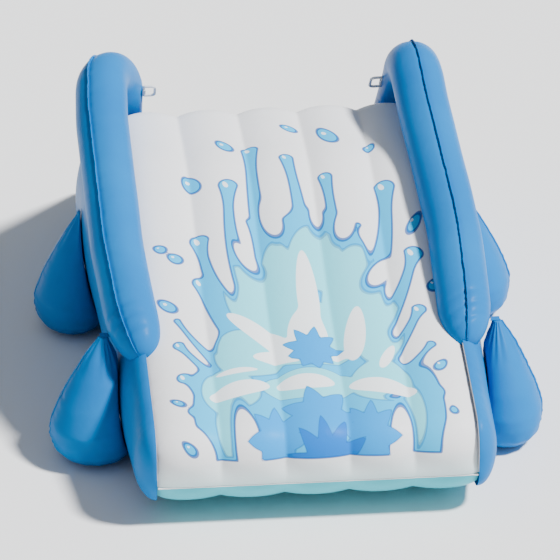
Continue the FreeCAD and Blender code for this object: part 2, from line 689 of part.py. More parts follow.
# ---------------------------------------------------------------- water inlet
def build_spray(placement):
    """Sprayer head, lock nut, inlet collar, washer and swivel nut on one axis."""
    stem = "Dims.spray_stem"
    front = "Dims.rail_web_thickness / 2"
    back = "-Dims.rail_web_thickness / 2"
    nut_end = back + " - Dims.nut_length"
    collar_end = nut_end + " - Dims.inlet_collar"
    lip_start = nut_end + " - Dims.inlet_length + Dims.inlet_lip"
    inlet_end = nut_end + " - Dims.inlet_length"
    washer_end = inlet_end + " - Dims.washer_thickness"
    swivel_start = nut_end + " - Dims.swivel_start"
    shoulder_end = swivel_start + " - Dims.swivel_shoulder"
    swivel_end = swivel_start + " - Dims.swivel_length"
    pieces = {
        "spray_nozzle": [
            ("Dims.inlet_bore / 2", nut_end),
            (stem, nut_end),
            (stem, front),
            ("Dims.spray_flange", front),
            ("Dims.spray_flange", front + " + Dims.spray_step"),
            ("Dims.spray_stem + Dims.spray_step", front + " + Dims.spray_step"),
            ("Dims.spray_mouth", front + " + Dims.spray_head"),
            ("Dims.inlet_bore / 2", front + " + Dims.spray_head"),
        ],
        "spray_lock_nut": [
            ("Dims.spray_stem + Dims.spray_fit", nut_end),
            ("Dims.nut_radius", nut_end),
            ("Dims.nut_radius", back),
            ("Dims.spray_stem + Dims.spray_fit", back),
        ],
        "hose_inlet": [
            ("Dims.inlet_bore", inlet_end),
            ("Dims.inlet_lip_radius", inlet_end),
            ("Dims.inlet_lip_radius", lip_start),
            (stem, lip_start),
            (stem, collar_end),
            ("Dims.inlet_radius", collar_end),
            ("Dims.inlet_radius", nut_end),
            ("Dims.inlet_bore", nut_end),
        ],
        "hose_swivel_nut": [
            ("Dims.swivel_neck", swivel_start),
            ("Dims.swivel_radius", swivel_start),
            ("Dims.swivel_radius", swivel_end),
            ("Dims.swivel_bore", swivel_end),
            ("Dims.swivel_bore", washer_end),
            ("Dims.swivel_chamber", washer_end),
            ("Dims.swivel_chamber", shoulder_end),
            ("Dims.swivel_neck", shoulder_end),
        ],
        "hose_washer": [
            ("Dims.inlet_bore", washer_end),
            ("Dims.washer_radius", washer_end),
            ("Dims.washer_radius", inlet_end),
            ("Dims.inlet_bore", inlet_end),
        ],
    }
    for label, corners in pieces.items():
        body = new_body(label)
        turn(body, outline_sketch(body, "XZ_Plane", corners))
        body.Placement = placement
        keep(body)
    hole = doc.addObject("Part::Cylinder", "spray_hole")
    hole.setExpression("Radius", "Dims.spray_stem + Dims.spray_fit")
    hole.setExpression("Height", "2 * Dims.rail_web_thickness")
    hole.Placement = placement.multiply(
        FreeCAD.Placement(FreeCAD.Vector(0, 0, -size("rail_web_thickness")), FreeCAD.Rotation()))
    doc.recompute()
    return hole


def build_sides():
    """Rails with their panels, handles, valves and the water inlet."""
    rails = {}
    for side_name, side in SIDES:
        tube = build_rail_tube(side_name, side)
        panel = build_rail_web(side_name, side, tube)
        on_bed = boolean("Part::Cut", "rail_on_bed_" + side_name, tube, core)
        seated = boolean("Part::Cut", "rail_seated_" + side_name, on_bed, sheets)
        grip_point = along_leg(size("handle_along"))[0]
        grip = FreeCAD.Placement(
            on_rail(side, grip_point, size("patch_recess") - size("rail_radius")), leg_frame(side, False))
        seat = build_handle(side_name, grip)
        gripped = boolean("Part::Cut", "rail_gripped_" + side_name, seated, seat)
        valve_point = along_leg(size("rail_valve_along"))[0]
        valve = FreeCAD.Placement(
            on_rail(side, valve_point, size("rail_radius") - size("valve_recess")), leg_frame(side, True))
        build_valve("rail_%s" % side_name, valve)
        well = valve_well("rail_" + side_name, valve, "2 * Dims.valve_recess")
        rails[side_name] = boolean("Part::Cut", "rail_" + side_name, gripped, well)
        keep(rails[side_name])
        if side_name == "left":
            spray_point = FreeCAD.Vector(0, size("spray_y"), size("spray_height"))
            inlet = FreeCAD.Placement(on_rail(side, spray_point, 0), side_frame(side, False))
            hole = build_spray(inlet)
            panel = boolean("Part::Cut", "rail_web_bored_" + side_name, panel, hole)
        panel.Label = "rail_web_" + side_name
        keep(panel)
    return rails


def build_steps():
    """Climbing rolls that lie on the sloping rear face."""
    slope = "atan((Dims.deck_height - Dims.film) / (Dims.heel_y - Dims.deck_rear_y))"
    for index in range(int(size("step_count"))):
        body = new_body("step_roll_%d" % (index + 1))
        sketch = body.newObject("Sketcher::SketchObject", "roll_section_%d" % (index + 1))
        sketch.AttachmentSupport = (origin_plane(body, "YZ_Plane"), [""])
        sketch.MapMode = "FlatFace"
        sketch.addGeometry(Part.Circle(FreeCAD.Vector(), FreeCAD.Vector(0, 0, 1), size("step_radius")), False)
        sketch.addConstraint(Sketcher.Constraint("Coincident", 0, 3, -1, 1))
        radius = sketch.addConstraint(Sketcher.Constraint("Radius", 0, size("step_radius")))
        sketch.setExpression("Constraints[%d]" % radius, "Dims.step_radius")
        feature = pad(body, sketch, STEP_LENGTH)
        feature.Midplane = True
        doc.recompute()
        rims = edges_where(body.Tip.Shape, lambda edge: edge.Curve.TypeId == "Part::GeomCircle")
        fillet(body, rims, "Dims.step_end_round")
        seat = "(Dims.step_radius + Dims.film + Dims.step_gap)"
        height = "(Dims.step_radius + %d * Dims.step_rise)" % index
        depth = "Dims.heel_y - (%s - Dims.film - %s * cos(%s)) / tan(%s) + %s * sin(%s)" % (
            height, seat, slope, slope, seat, slope)
        place_by(body, ("0", depth, height))
        keep(body)
    doc.recompute()


# ---------------------------------------------------------------- ballast bags
# Each level: share of the height, share of the belly's size, share of the apex shift.
BAG_LEVELS = [(0.0, 0.66, 0.0), (0.1, 0.92, 0.0), (0.29, 1.0, 0.0), (0.55, 0.8, 0.28),
              (0.78, 0.46, 0.6), (1.0, 0.11, 1.0)]


def build_bag(name, side, y_name, rail):
    """Teardrop bag lofted through level ovals, with strap, filler and plug."""
    ovals = []
    belly = "%d * %s" % (side, BAG_MIDDLE)
    for level, (rise, share, shift) in enumerate(BAG_LEVELS):
        oval = doc.addObject("Part::Ellipse", "bag_level_%s_%d" % (name, level))
        oval.setExpression("MajorRadius", "Dims.bag_half_depth * %s" % share)
        oval.setExpression("MinorRadius", "Dims.bag_half_width * %s" % share)
        place_by(oval, ("%s - %d * Dims.bag_apex_shift * %s" % (belly, side, shift),
                        "Dims.%s + Dims.bag_apex_lean * %s" % (y_name, shift),
                        "Dims.bag_height * %s" % rise),
                 FreeCAD.Rotation(FreeCAD.Vector(0, 0, 1), 90))
        ovals.append(oval)
    pouch = doc.addObject("Part::Loft", "bag_loft_" + name)
    pouch.Sections = ovals
    pouch.Solid = True
    pouch.Ruled = False
    doc.recompute()
    strap = doc.addObject("Part::Box", "bag_strap_blank_" + name)
    reach = "(%s - Dims.bag_apex_shift + Dims.strap_lap - %s)" % (BAG_MIDDLE, OUTER_SIDE)
    strap.setExpression("Length", reach)
    strap.setExpression("Width", "Dims.strap_width")
    strap.setExpression("Height", "Dims.strap_thickness")
    corner_x = OUTER_SIDE if side > 0 else "-(%s + %s)" % (OUTER_SIDE, reach)
    place_by(strap, (corner_x, "Dims.%s + Dims.bag_apex_lean - Dims.strap_width / 2" % y_name,
                     "Dims.bag_height"))
    keep(boolean("Part::Cut", "bag_strap_" + name, strap, rail))
    mouth = FreeCAD.Placement(
        FreeCAD.Vector(side * (number(BAG_MIDDLE) - size("filler_shift")),
                       size(y_name) + size("filler_depth"), size("filler_height")),
        FreeCAD.Rotation(FreeCAD.Vector(0, 0, 1), FreeCAD.Vector(0, 1, 0)))
    filler = new_body("bag_filler_" + name)
    turn(filler, outline_sketch(filler, "XZ_Plane", [
        ("Dims.filler_bore", "0"), ("Dims.filler_radius", "0"),
        ("Dims.filler_radius", "Dims.filler_length"), ("Dims.filler_bore", "Dims.filler_length")]))
    plug = new_body("bag_plug_" + name)
    turn(plug, outline_sketch(plug, "XZ_Plane", [
        ("0", "Dims.filler_length - Dims.plug_depth"),
        ("Dims.filler_bore - Dims.plug_fit", "Dims.filler_length - Dims.plug_depth"),
        ("Dims.filler_bore - Dims.plug_fit", "Dims.filler_length + Dims.plug_fit"),
        ("Dims.plug_head", "Dims.filler_length + Dims.plug_fit"),
        ("Dims.plug_head", "Dims.filler_length + Dims.plug_fit + Dims.plug_head_thickness"),
        ("0", "Dims.filler_length + Dims.plug_fit + Dims.plug_head_thickness")]))
    for piece in (filler, plug):
        piece.Placement = mouth
        keep(piece)
    pocket = doc.addObject("Part::Cylinder", "filler_pocket_" + name)
    pocket.setExpression("Radius", "Dims.filler_radius + Dims.filler_fit")
    pocket.Height = size("bag_half_depth")
    pocket.Placement = mouth
    doc.recompute()
    bag = boolean("Part::Cut", "bag_opened_" + name, pouch, pocket)
    keep(boolean("Part::Cut", "ballast_bag_" + name, bag, rail))


build_side_walls()
sheets = doc.addObject("Part::Compound", "sheets")
sheets.Links = [item for item in finished if item.Label.endswith("_sheet") or item.Label.startswith("side_wall")]
doc.recompute()
rails = build_sides()
build_steps()
for end_name, y_name in ENDS:
    for side_name, side in SIDES:
        build_bag(end_name + "_" + side_name, side, y_name, rails[side_name])

doc.recompute()
for item in doc.Objects:
    if "Invalid" in item.State or "Error" in item.State:
        raise RuntimeError("%s failed: %s" % (item.Label, item.State))
os.makedirs("parts", exist_ok=True)
for item in finished:
    shape = item.Shape
    if shape.isNull() or not shape.isValid() or shape.Volume <= 0:
        raise RuntimeError("%s has a bad shape" % item.Label)
for item in finished:
    item.Shape.exportStep("parts/%s.step" % item.Label)
    print(item.Label, len(item.Shape.Solids), round(item.Shape.Volume / 1e6, 4))
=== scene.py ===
import math

import bmesh
import bpy
import numpy as np
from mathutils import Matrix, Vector, noise


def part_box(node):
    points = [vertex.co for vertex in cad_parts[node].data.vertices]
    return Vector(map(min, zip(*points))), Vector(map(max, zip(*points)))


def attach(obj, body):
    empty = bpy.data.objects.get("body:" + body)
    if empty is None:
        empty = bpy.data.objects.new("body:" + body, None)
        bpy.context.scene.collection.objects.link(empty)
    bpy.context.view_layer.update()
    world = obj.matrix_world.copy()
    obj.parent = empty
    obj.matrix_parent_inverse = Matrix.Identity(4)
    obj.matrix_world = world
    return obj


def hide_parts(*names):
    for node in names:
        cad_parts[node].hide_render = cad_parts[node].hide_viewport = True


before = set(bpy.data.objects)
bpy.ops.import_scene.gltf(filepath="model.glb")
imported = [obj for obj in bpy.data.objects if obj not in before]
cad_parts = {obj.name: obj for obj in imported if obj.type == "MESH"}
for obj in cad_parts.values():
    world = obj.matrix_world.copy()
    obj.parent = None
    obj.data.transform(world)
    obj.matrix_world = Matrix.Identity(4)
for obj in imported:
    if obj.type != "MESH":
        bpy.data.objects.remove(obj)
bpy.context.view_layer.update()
SCENE = bpy.context.scene
MOVING = "slide"

# ------------------------------------------------------------------ camera
VIEW_TURN = math.radians(-5.5)
VIEW_RISE = math.radians(26.0)
VIEW_DISTANCE = 24.0
VIEW_TARGET = Vector((0.0, 0.0, 0.309))
LENS = 351.6
SENSOR_WIDTH = 36.0


def add_object(name, data):
    """Puts an object that holds the given data into the scene."""
    made = bpy.data.objects.new(name, data)
    SCENE.collection.objects.link(made)
    return made


def add_camera():
    """A long lens, slightly left of the lip and above it."""
    back = Vector((math.sin(VIEW_TURN) * math.cos(VIEW_RISE),
                   -math.cos(VIEW_TURN) * math.cos(VIEW_RISE),
                   math.sin(VIEW_RISE)))
    lens = bpy.data.cameras.new("camera")
    lens.lens = LENS
    lens.sensor_width = SENSOR_WIDTH
    lens.clip_end = 100.0
    camera = add_object("camera", lens)
    camera.location = VIEW_TARGET + back * VIEW_DISTANCE
    camera.rotation_euler = back.to_track_quat("Z", "Y").to_euler()
    SCENE.camera = camera


add_camera()

# ------------------------------------------------------------------ sizes, in metres
TUBES = 5
PITCH = 0.267
BED_HALF = TUBES * PITCH / 2
# Side outline of the bed: along, up, rounding. It starts at the lower lip.
OUTLINE = [
    (-1.665, 0.112, 0.138), (-1.180, 0.0008, 0.700), (1.500, 0.0008, 0.110), (0.650, 0.850, 0.170),
    (0.020, 0.850, 1.100), (-0.820, 0.572, 2.200), (-1.665, 0.402, 0.138),
]
RAIL_LINE = [(-0.900, 0.566, 0.0), (-0.350, 0.792, 2.5), (0.600, 1.111, 0.330), (1.553, 0.076, 0.0)]
RAIL_RADIUS = 0.112
RAIL_OFFSET = 0.680
RAIL_TOE = math.radians(2.1)
RAIL_TIP_LENGTH = 0.19


def rounded(corners, closed, step=0.01):
    """Turns corners with roundings into evenly spaced points of lines and arcs."""
    count = len(corners)
    dense = []
    for index, (across, up, radius) in enumerate(corners):
        corner = np.array((across, up))
        if radius == 0.0 or (not closed and index in (0, count - 1)):
            dense.append(corner)
            continue
        back = np.array(corners[index - 1][:2]) - corner
        ahead = np.array(corners[(index + 1) % count][:2]) - corner
        back /= np.linalg.norm(back)
        ahead /= np.linalg.norm(ahead)
        half = math.acos(float(np.dot(back, ahead))) / 2
        middle = corner + (back + ahead) / np.linalg.norm(back + ahead) * radius / math.sin(half)
        first = corner + back * radius / math.tan(half) - middle
        last = corner + ahead * radius / math.tan(half) - middle
        sweep = math.pi - 2 * half
        steps = max(3, int(sweep * radius / step) + 1)
        for n in range(steps + 1):
            share = n / steps
            point = (first * math.sin((1 - share) * sweep) + last * math.sin(share * sweep)) / math.sin(sweep)
            dense.append(middle + point)
    dense = np.array(dense)
    if closed:
        dense = np.vstack([dense, dense[:1]])
    gaps = np.linalg.norm(np.diff(dense, axis=0), axis=1)
    reach = np.concatenate([[0.0], np.cumsum(gaps)])
    places = np.linspace(0.0, reach[-1], int(reach[-1] / step) + 1)
    line = np.stack([np.interp(places, reach, dense[:, 0]), np.interp(places, reach, dense[:, 1])], axis=1)
    return line[:-1] if closed else line


def normals_of(line, closed):
    """Unit normals on the left-hand side of a line's direction."""
    if closed:
        along = np.roll(line, -1, axis=0) - np.roll(line, 1, axis=0)
    else:
        along = np.gradient(line, axis=0)
    along /= np.linalg.norm(along, axis=1)[:, None]
    return np.stack([along[:, 1], -along[:, 0]], axis=1)


def wobble(places, scale, seed):
    """Smooth uneven values between -1 and 1 along a list of places."""
    return np.array([noise.noise(Vector((p * scale, seed * 7.31, 0.5 * seed))) for p in places])


# ------------------------------------------------------------------ materials
def node_of(tree, kind, **values):
    """Adds a shader node and sets its plain values."""
    node = tree.nodes.new(kind)
    for name, value in values.items():
        setattr(node, name, value)
    return node


def vinyl(name, tint, deep, rough=0.34, grain=0.12, crumple=0.25, coat=0.0):
    """Glossy inflated vinyl: faint colour drift, fine grain and soft crumples."""
    material = bpy.data.materials.new(name)
    material.use_nodes = True
    tree = material.node_tree
    shader = tree.nodes["Principled BSDF"]
    place = node_of(tree, "ShaderNodeTexCoord")
    drift = node_of(tree, "ShaderNodeTexNoise")
    drift.inputs["Scale"].default_value = 2.6
    drift.inputs["Detail"].default_value = 4.0
    tree.links.new(place.outputs["Object"], drift.inputs["Vector"])
    ramp = node_of(tree, "ShaderNodeValToRGB")
    ramp.color_ramp.elements[0].position = 0.3
    ramp.color_ramp.elements[0].color = (*deep, 1.0)
    ramp.color_ramp.elements[1].position = 0.7
    ramp.color_ramp.elements[1].color = (*tint, 1.0)
    tree.links.new(drift.outputs["Fac"], ramp.inputs["Fac"])
    tree.links.new(ramp.outputs["Color"], shader.inputs["Base Color"])
    fine = node_of(tree, "ShaderNodeTexNoise")
    fine.inputs["Scale"].default_value = 900.0
    fine.inputs["Detail"].default_value = 2.0
    soft = node_of(tree, "ShaderNodeTexNoise")
    soft.inputs["Scale"].default_value = 14.0
    soft.inputs["Detail"].default_value = 5.0
    soft.inputs["Distortion"].default_value = 0.6
    tree.links.new(place.outputs["Object"], fine.inputs["Vector"])
    tree.links.new(place.outputs["Object"], soft.inputs["Vector"])
    low = node_of(tree, "ShaderNodeBump")
    low.inputs["Strength"].default_value = crumple
    low.inputs["Distance"].default_value = 0.006
    high = node_of(tree, "ShaderNodeBump")
    high.inputs["Strength"].default_value = grain
    high.inputs["Distance"].default_value = 0.0004
    tree.links.new(soft.outputs["Fac"], low.inputs["Height"])
    tree.links.new(fine.outputs["Fac"], high.inputs["Height"])
    tree.links.new(low.outputs["Normal"], high.inputs["Normal"])
    tree.links.new(high.outputs["Normal"], shader.inputs["Normal"])
    gloss = node_of(tree, "ShaderNodeMapRange")
    gloss.inputs["To Min"].default_value = rough - 0.06
    gloss.inputs["To Max"].default_value = rough + 0.1
    tree.links.new(soft.outputs["Fac"], gloss.inputs["Value"])
    tree.links.new(gloss.outputs["Result"], shader.inputs["Roughness"])
    shader.inputs["Coat Weight"].default_value = coat
    shader.inputs["Coat Roughness"].default_value = 0.18
    shader.inputs["IOR"].default_value = 1.13
    return material


PRINT_LAYERS = [
    ("print_sky", (0.03, 0.52, 0.92)),
    ("print_pale", (0.20, 0.76, 0.90)),
    ("print_mid", (0.0, 0.34, 0.86)),
    ("print_deep", (0.0, 0.18, 0.66)),
]
PRINT_LINE = (0.0, 0.10, 0.40)
PRINT_GLEAM = (0.9, 0.95, 0.98)
PRINT_BLUR = 0.0006
LINE_HALF_WIDTH = (0.0052, 0.0038)
OUTER_LINE_WEIGHT = 0.85
INNER_LINE_WEIGHT = 0.45
# Painted shade and reflection: the white sheet turns aqua between these heights, towards the lip.
LIP_SHADE_HEIGHTS = (0.31, 0.16)
LIP_SHADE_TINT = (0.42, 0.78, 0.80)
LIP_SHADE_SHARE = 0.55


def map_range(tree, source, start, stop, top=1.0):
    """Maps a value from start..stop to 0..top."""
    node = node_of(tree, "ShaderNodeMapRange")
    node.inputs["From Min"].default_value = start
    node.inputs["From Max"].default_value = stop
    node.inputs["To Max"].default_value = top
    tree.links.new(source, node.inputs["Value"])
    return node.outputs["Result"]


def tinted(tree, base, tint, factor):
    """Mixes a tint over a colour by a factor."""
    node = node_of(tree, "ShaderNodeMix", data_type="RGBA")
    node.inputs["B"].default_value = (*tint, 1.0)
    tree.links.new(factor, node.inputs["Factor"])
    tree.links.new(base, node.inputs["A"])
    return node.outputs["Result"]


def printed_vinyl():
    """White vinyl with an inked splash and painted aqua shade towards the lip; each layer's edge comes from a
    stored distance.
    """
    material = vinyl("white_vinyl_printed", (0.90, 0.90, 0.92), (0.86, 0.87, 0.89), rough=0.36)
    tree = material.node_tree
    shader = tree.nodes["Principled BSDF"]
    base = shader.inputs["Base Color"].links[0].from_socket
    for layer, ink in PRINT_LAYERS:
        field = node_of(tree, "ShaderNodeAttribute", attribute_name=layer)
        inside = map_range(tree, field.outputs["Fac"], -PRINT_BLUR, PRINT_BLUR)
        base = tinted(tree, base, ink, inside)
        ring = node_of(tree, "ShaderNodeMath", operation="ABSOLUTE")
        tree.links.new(field.outputs["Fac"], ring.inputs[0])
        edge = map_range(tree, ring.outputs[0], *LINE_HALF_WIDTH)
        weight = node_of(tree, "ShaderNodeMath", operation="MULTIPLY")
        weight.inputs[1].default_value = OUTER_LINE_WEIGHT if layer == "print_sky" else INNER_LINE_WEIGHT
        tree.links.new(edge, weight.inputs[0])
        base = tinted(tree, base, PRINT_LINE, weight.outputs[0])
    shine = node_of(tree, "ShaderNodeAttribute", attribute_name="print_shine")
    base = tinted(tree, base, PRINT_GLEAM, map_range(tree, shine.outputs["Fac"], -PRINT_BLUR, PRINT_BLUR))
    place = node_of(tree, "ShaderNodeTexCoord")
    height = node_of(tree, "ShaderNodeSeparateXYZ")
    tree.links.new(place.outputs["Object"], height.inputs["Vector"])
    # Painted shade and reflection: aqua is mixed into the white sheet by height, towards the lip.
    base = tinted(tree, base, LIP_SHADE_TINT, map_range(tree, height.outputs["Z"], *LIP_SHADE_HEIGHTS, top=LIP_SHADE_SHARE))
    tree.links.new(base, shader.inputs["Base Color"])
    return material


def moulded(name, tint, rough, clear=0.0, speckle=0.02):
    """Moulded plastic with a fine grain and faint flow marks."""
    material = vinyl(name, tint, tuple(max(0.0, c - speckle) for c in tint), rough=rough, grain=0.25,
                     crumple=0.06, coat=0.05)
    shader = material.node_tree.nodes["Principled BSDF"]
    shader.inputs["Transmission Weight"].default_value = clear
    return material


BLUE = vinyl("blue_vinyl_sheet", (0.0, 0.190, 0.52), (0.0, 0.155, 0.46))
AQUA = vinyl("aqua_vinyl_sheet", (0.10, 0.56, 0.66), (0.08, 0.50, 0.60))
WHITE_PRINT = printed_vinyl()
WELD_WHITE = vinyl("white_weld", (0.84, 0.80, 0.80), (0.80, 0.76, 0.76), rough=0.3)
FILM = moulded("web_film_clear", (0.80, 0.84, 0.86), 0.3, clear=0.3)
CLEAR = moulded("valve_clear_vinyl", (0.72, 0.80, 0.84), 0.22, clear=0.35)
GREY = moulded("handle_grey_plastic", (0.80, 0.82, 0.84), 0.36, clear=0.1)
DARK = moulded("hose_dark_plastic", (0.03, 0.04, 0.05), 0.4)
RUBBER = moulded("washer_black_rubber", (0.02, 0.02, 0.02), 0.6)


# ------------------------------------------------------------------ mesh helpers
def surface(name, points, around=False, flip=False, material=BLUE):
    """Skins a grid of points smoothly: rows along the first axis, closed across if asked."""
    rows, columns = points.shape[:2]
    verts = points.reshape(-1, 3)
    spans = columns if around else columns - 1
    r = np.arange(rows - 1)[:, None]
    c = np.arange(spans)[None, :]
    nxt = (c + 1) % columns
    quads = np.stack([r * columns + c, r * columns + nxt, (r + 1) * columns + nxt, (r + 1) * columns + c], axis=-1)
    quads = quads.reshape(-1, 4)
    if flip:
        quads = quads[:, ::-1]
    mesh = bpy.data.meshes.new(name)
    mesh.from_pydata(verts.tolist(), [], quads.tolist())
    mesh.update()
    for polygon in mesh.polygons:
        polygon.use_smooth = True
    mesh.materials.append(material)
    return add_object(name, mesh)


def settle(piece):
    """Applies a piece's modifiers and leaves a plain mesh."""
    seen = piece.evaluated_get(bpy.context.evaluated_depsgraph_get())
    mesh = bpy.data.meshes.new_from_object(seen)
    old = piece.data
    piece.modifiers.clear()
    piece.data = mesh
    bpy.data.meshes.remove(old)


def join(name, pieces):
    """Joins meshes into one piece."""
    joined = bmesh.new()
    materials = []
    for piece in pieces:
        start = len(joined.faces)
        joined.from_mesh(piece.data)
        joined.faces.ensure_lookup_table()
        for face in joined.faces[start:]:
            own = piece.data.materials[face.material_index]
            if own not in materials:
                materials.append(own)
            face.material_index = materials.index(own)
    mesh = bpy.data.meshes.new(name)
    joined.to_mesh(mesh)
    joined.free()
    for material in materials:
        mesh.materials.append(material)
    for piece in pieces:
        bpy.data.objects.remove(piece)
    for polygon in mesh.polygons:
        polygon.use_smooth = True
    return add_object(name, mesh)


def finish_piece(piece, replaced, body=MOVING):
    """Says what a finished piece rides on and hides the CAD parts it stands for."""
    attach(piece, body)
    if replaced:
        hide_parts(*replaced)
    return piece


# ------------------------------------------------------------------ printed splash
# Each arm: foot across, foot along, tip across, tip along, foot width, neck width, tip width, bend.
ARMS = [
    (-0.02, 0.95, -0.115, 2.10, 0.120, 0.022, 0.036, 0.05), (0.03, 1.00, 0.035, 1.99, 0.120, 0.020, 0.030, -0.03),
    (-0.12, 0.95, -0.235, 1.80, 0.110, 0.020, 0.042, 0.06), (0.08, 0.95, 0.190, 1.84, 0.110, 0.018, 0.030, -0.05),
    (0.18, 0.90, 0.440, 1.76, 0.110, 0.026, 0.044, -0.07), (-0.18, 0.85, -0.385, 1.47, 0.100, 0.020, 0.042, 0.05),
    (-0.20, 0.72, -0.400, 1.22, 0.090, 0.022, 0.036, 0.03), (0.24, 0.80, 0.520, 1.33, 0.100, 0.020, 0.042, -0.04),
    (0.25, 0.62, 0.505, 0.98, 0.085, 0.018, 0.032, -0.03), (-0.25, 0.62, -0.520, 0.97, 0.080, 0.010, 0.014, 0.04),
    (-0.26, 0.52, -0.525, 0.80, 0.075, 0.014, 0.026, 0.03), (-0.25, 0.40, -0.520, 0.58, 0.080, 0.018, 0.032, 0.02),
    (0.27, 0.48, 0.530, 0.74, 0.075, 0.012, 0.020, -0.02), (-0.22, 0.30, -0.500, 0.36, 0.080, 0.014, 0.022, -0.02),
    (0.25, 0.30, 0.520, 0.42, 0.080, 0.014, 0.024, 0.02), (0.14, 1.00, 0.300, 1.52, 0.080, 0.010, 0.014, 0.03),
    (-0.06, 1.00, -0.160, 1.58, 0.080, 0.010, 0.013, -0.02), (0.0, 1.0, 0.095, 1.60, 0.080, 0.011, 0.015, 0.02),
]
# Each drop: across, along, half width, half length, lean.
DROPS = [
    (-0.395, 1.84, 0.036, 0.060, 0.35), (-0.225, 2.13, 0.028, 0.055, 0.5), (0.075, 2.30, 0.026, 0.040, 0.9),
    (0.235, 2.20, 0.034, 0.082, 0.35), (0.410, 2.09, 0.022, 0.038, -0.4), (-0.560, 1.42, 0.022, 0.030, 1.0),
    (-0.500, 1.36, 0.026, 0.036, 0.9), (-0.555, 1.07, 0.026, 0.052, 0.7), (0.545, 1.52, 0.022, 0.070, -0.45),
    (0.590, 1.14, 0.024, 0.044, -0.5), (0.555, 0.60, 0.022, 0.040, -0.6), (-0.560, 0.42, 0.016, 0.034, 0.9),
    (-0.530, 0.17, 0.018, 0.036, 0.8), (0.575, 0.30, 0.017, 0.024, 0.1),
]
# Lobes of the inked splash: across, along, half width, half length, lean.
TRUNK = [(0.10, 1.34, 0.23, 0.30, 0.0), (0.05, 1.06, 0.33, 0.32, 0.0), (0.0, 0.80, 0.38, 0.28, 0.0),
         (-0.02, 0.58, 0.47, 0.20, 0.0), (-0.40, 0.30, 0.10, 0.28, 0.12), (0.44, 0.30, 0.10, 0.30, -0.12),
         (0.03, 0.32, 0.30, 0.34, 0.0)]
TRUNK_GAPS = [(-0.285, 0.17, 0.055, 0.21, 0.10), (0.345, 0.16, 0.052, 0.20, -0.08), (-0.50, 0.16, 0.07, 0.12, 0.3),
              (0.585, 0.20, 0.06, 0.13, -0.3), (-0.07, 1.60, 0.045, 0.13, 0.15), (0.13, 1.63, 0.030, 0.10, 0.0),
              (0.25, 1.55, 0.045, 0.12, -0.2), (-0.20, 1.36, 0.035, 0.10, 0.4), (0.37, 1.24, 0.040, 0.11, -0.5)]
PALE_LOBES = [(-0.17, 1.06, 0.13, 0.25, 0.35), (-0.05, 1.22, 0.09, 0.22, 0.1), (0.10, 1.34, 0.12, 0.20, 0.0),
              (0.24, 1.12, 0.13, 0.28, -0.15), (0.33, 0.86, 0.10, 0.24, -0.2), (-0.24, 0.74, 0.15, 0.16, 0.5),
              (0.02, 0.86, 0.26, 0.22, 0.0), (-0.34, 0.50, 0.12, 0.14, 0.3), (0.30, 0.52, 0.13, 0.14, -0.3),
              (-0.35, 0.24, 0.06, 0.16, 0.2), (0.40, 0.30, 0.06, 0.18, -0.1), (0.0, 0.52, 0.20, 0.10, 0.0)]
PALE_HOLLOWS = [(0.045, 1.12, 0.046, 0.26, 0.0), (0.02, 0.86, 0.085, 0.16, 0.0), (-0.17, 0.86, 0.050, 0.20, 0.75),
                (0.22, 0.84, 0.045, 0.18, -0.15), (-0.02, 0.72, 0.20, 0.055, 0.0), (-0.30, 0.62, 0.09, 0.018, 0.1),
                (0.34, 0.68, 0.022, 0.09, -0.4)]
BURSTS = [(0.03, 0.74, 0.13, 0.16, 9), (-0.165, 0.19, 0.125, 0.19, 8), (0.215, 0.19, 0.135, 0.20, 9),
          (0.02, 0.30, 0.17, 0.20, 7)]
DEEP_BURST = (0.045, 0.06, 0.185, 0.24, 11)
CURLS = [(-0.30, 0.50, 0.13, 0.05, 0.25), (0.30, 0.48, 0.14, 0.05, -0.2), (-0.02, 0.53, 0.12, 0.05, 0.0)]
PRINT_START = 0.115


def soft_union(first, second, blend):
    """Joins two distance fields with a rounded inner corner."""
    mixed = np.clip(0.5 + 0.5 * (first - second) / blend, 0.0, 1.0)
    return second * (1 - mixed) + first * mixed + blend * mixed * (1 - mixed)


def arm_field(across, along, arm):
    """Distance inside a bent, tapering arm with a round head."""
    foot_x, foot_y, tip_x, tip_y, foot_width, neck, head, bend = arm
    foot = np.array((foot_x, foot_y))
    tip = np.array((tip_x, tip_y))
    span = tip - foot
    length = np.linalg.norm(span)
    run = span / length
    side = np.array((-run[1], run[0]))
    dx = across - foot[0]
    dy = along - foot[1]
    t = np.clip((dx * run[0] + dy * run[1]) / length, 0.0, 1.0)
    sway = bend * np.sin(math.pi * t)
    near_x = foot[0] + run[0] * t * length + side[0] * sway
    near_y = foot[1] + run[1] * t * length + side[1] * sway
    away = np.hypot(across - near_x, along - near_y)
    width = neck + (foot_width - neck) * (1 - t) ** 2.4 + (head - neck) * np.clip((t - 0.82) / 0.18, 0, 1) ** 2
    return width - away


def oval_field(across, along, spot):
    """Distance inside a leaning drop that is pointed at one end."""
    x, y, half_width, half_length, lean = spot
    dx = across - x
    dy = along - y
    u = dx * math.cos(lean) + dy * math.sin(lean)
    v = -dx * math.sin(lean) + dy * math.cos(lean)
    u = u / (half_width * (1.0 - 0.18 * v / half_length))
    v = v / half_length
    return (1.0 - np.hypot(u, v)) * half_width


def burst_field(across, along, spot):
    """Distance inside a burst with sharp points, shorter below its middle."""
    x, y, half_width, half_height, points = spot
    u = (across - x) / half_width
    v = (along - y) / half_height
    angle = np.arctan2(v, u)
    spike = np.abs((angle * points / (2 * math.pi)) % 1.0 - 0.5) * 2
    edge = 0.60 + 0.40 * spike ** 1.3 * np.where(v > -0.2, 1.0, 0.5)
    return (edge - np.hypot(u, v)) * min(half_width, half_height)


def gather(across, along, spots, field, blend):
    """Joins the fields of many shapes."""
    total = np.full(across.shape, -1.0)
    for spot in spots:
        total = soft_union(total, field(across, along, spot), blend)
    return total


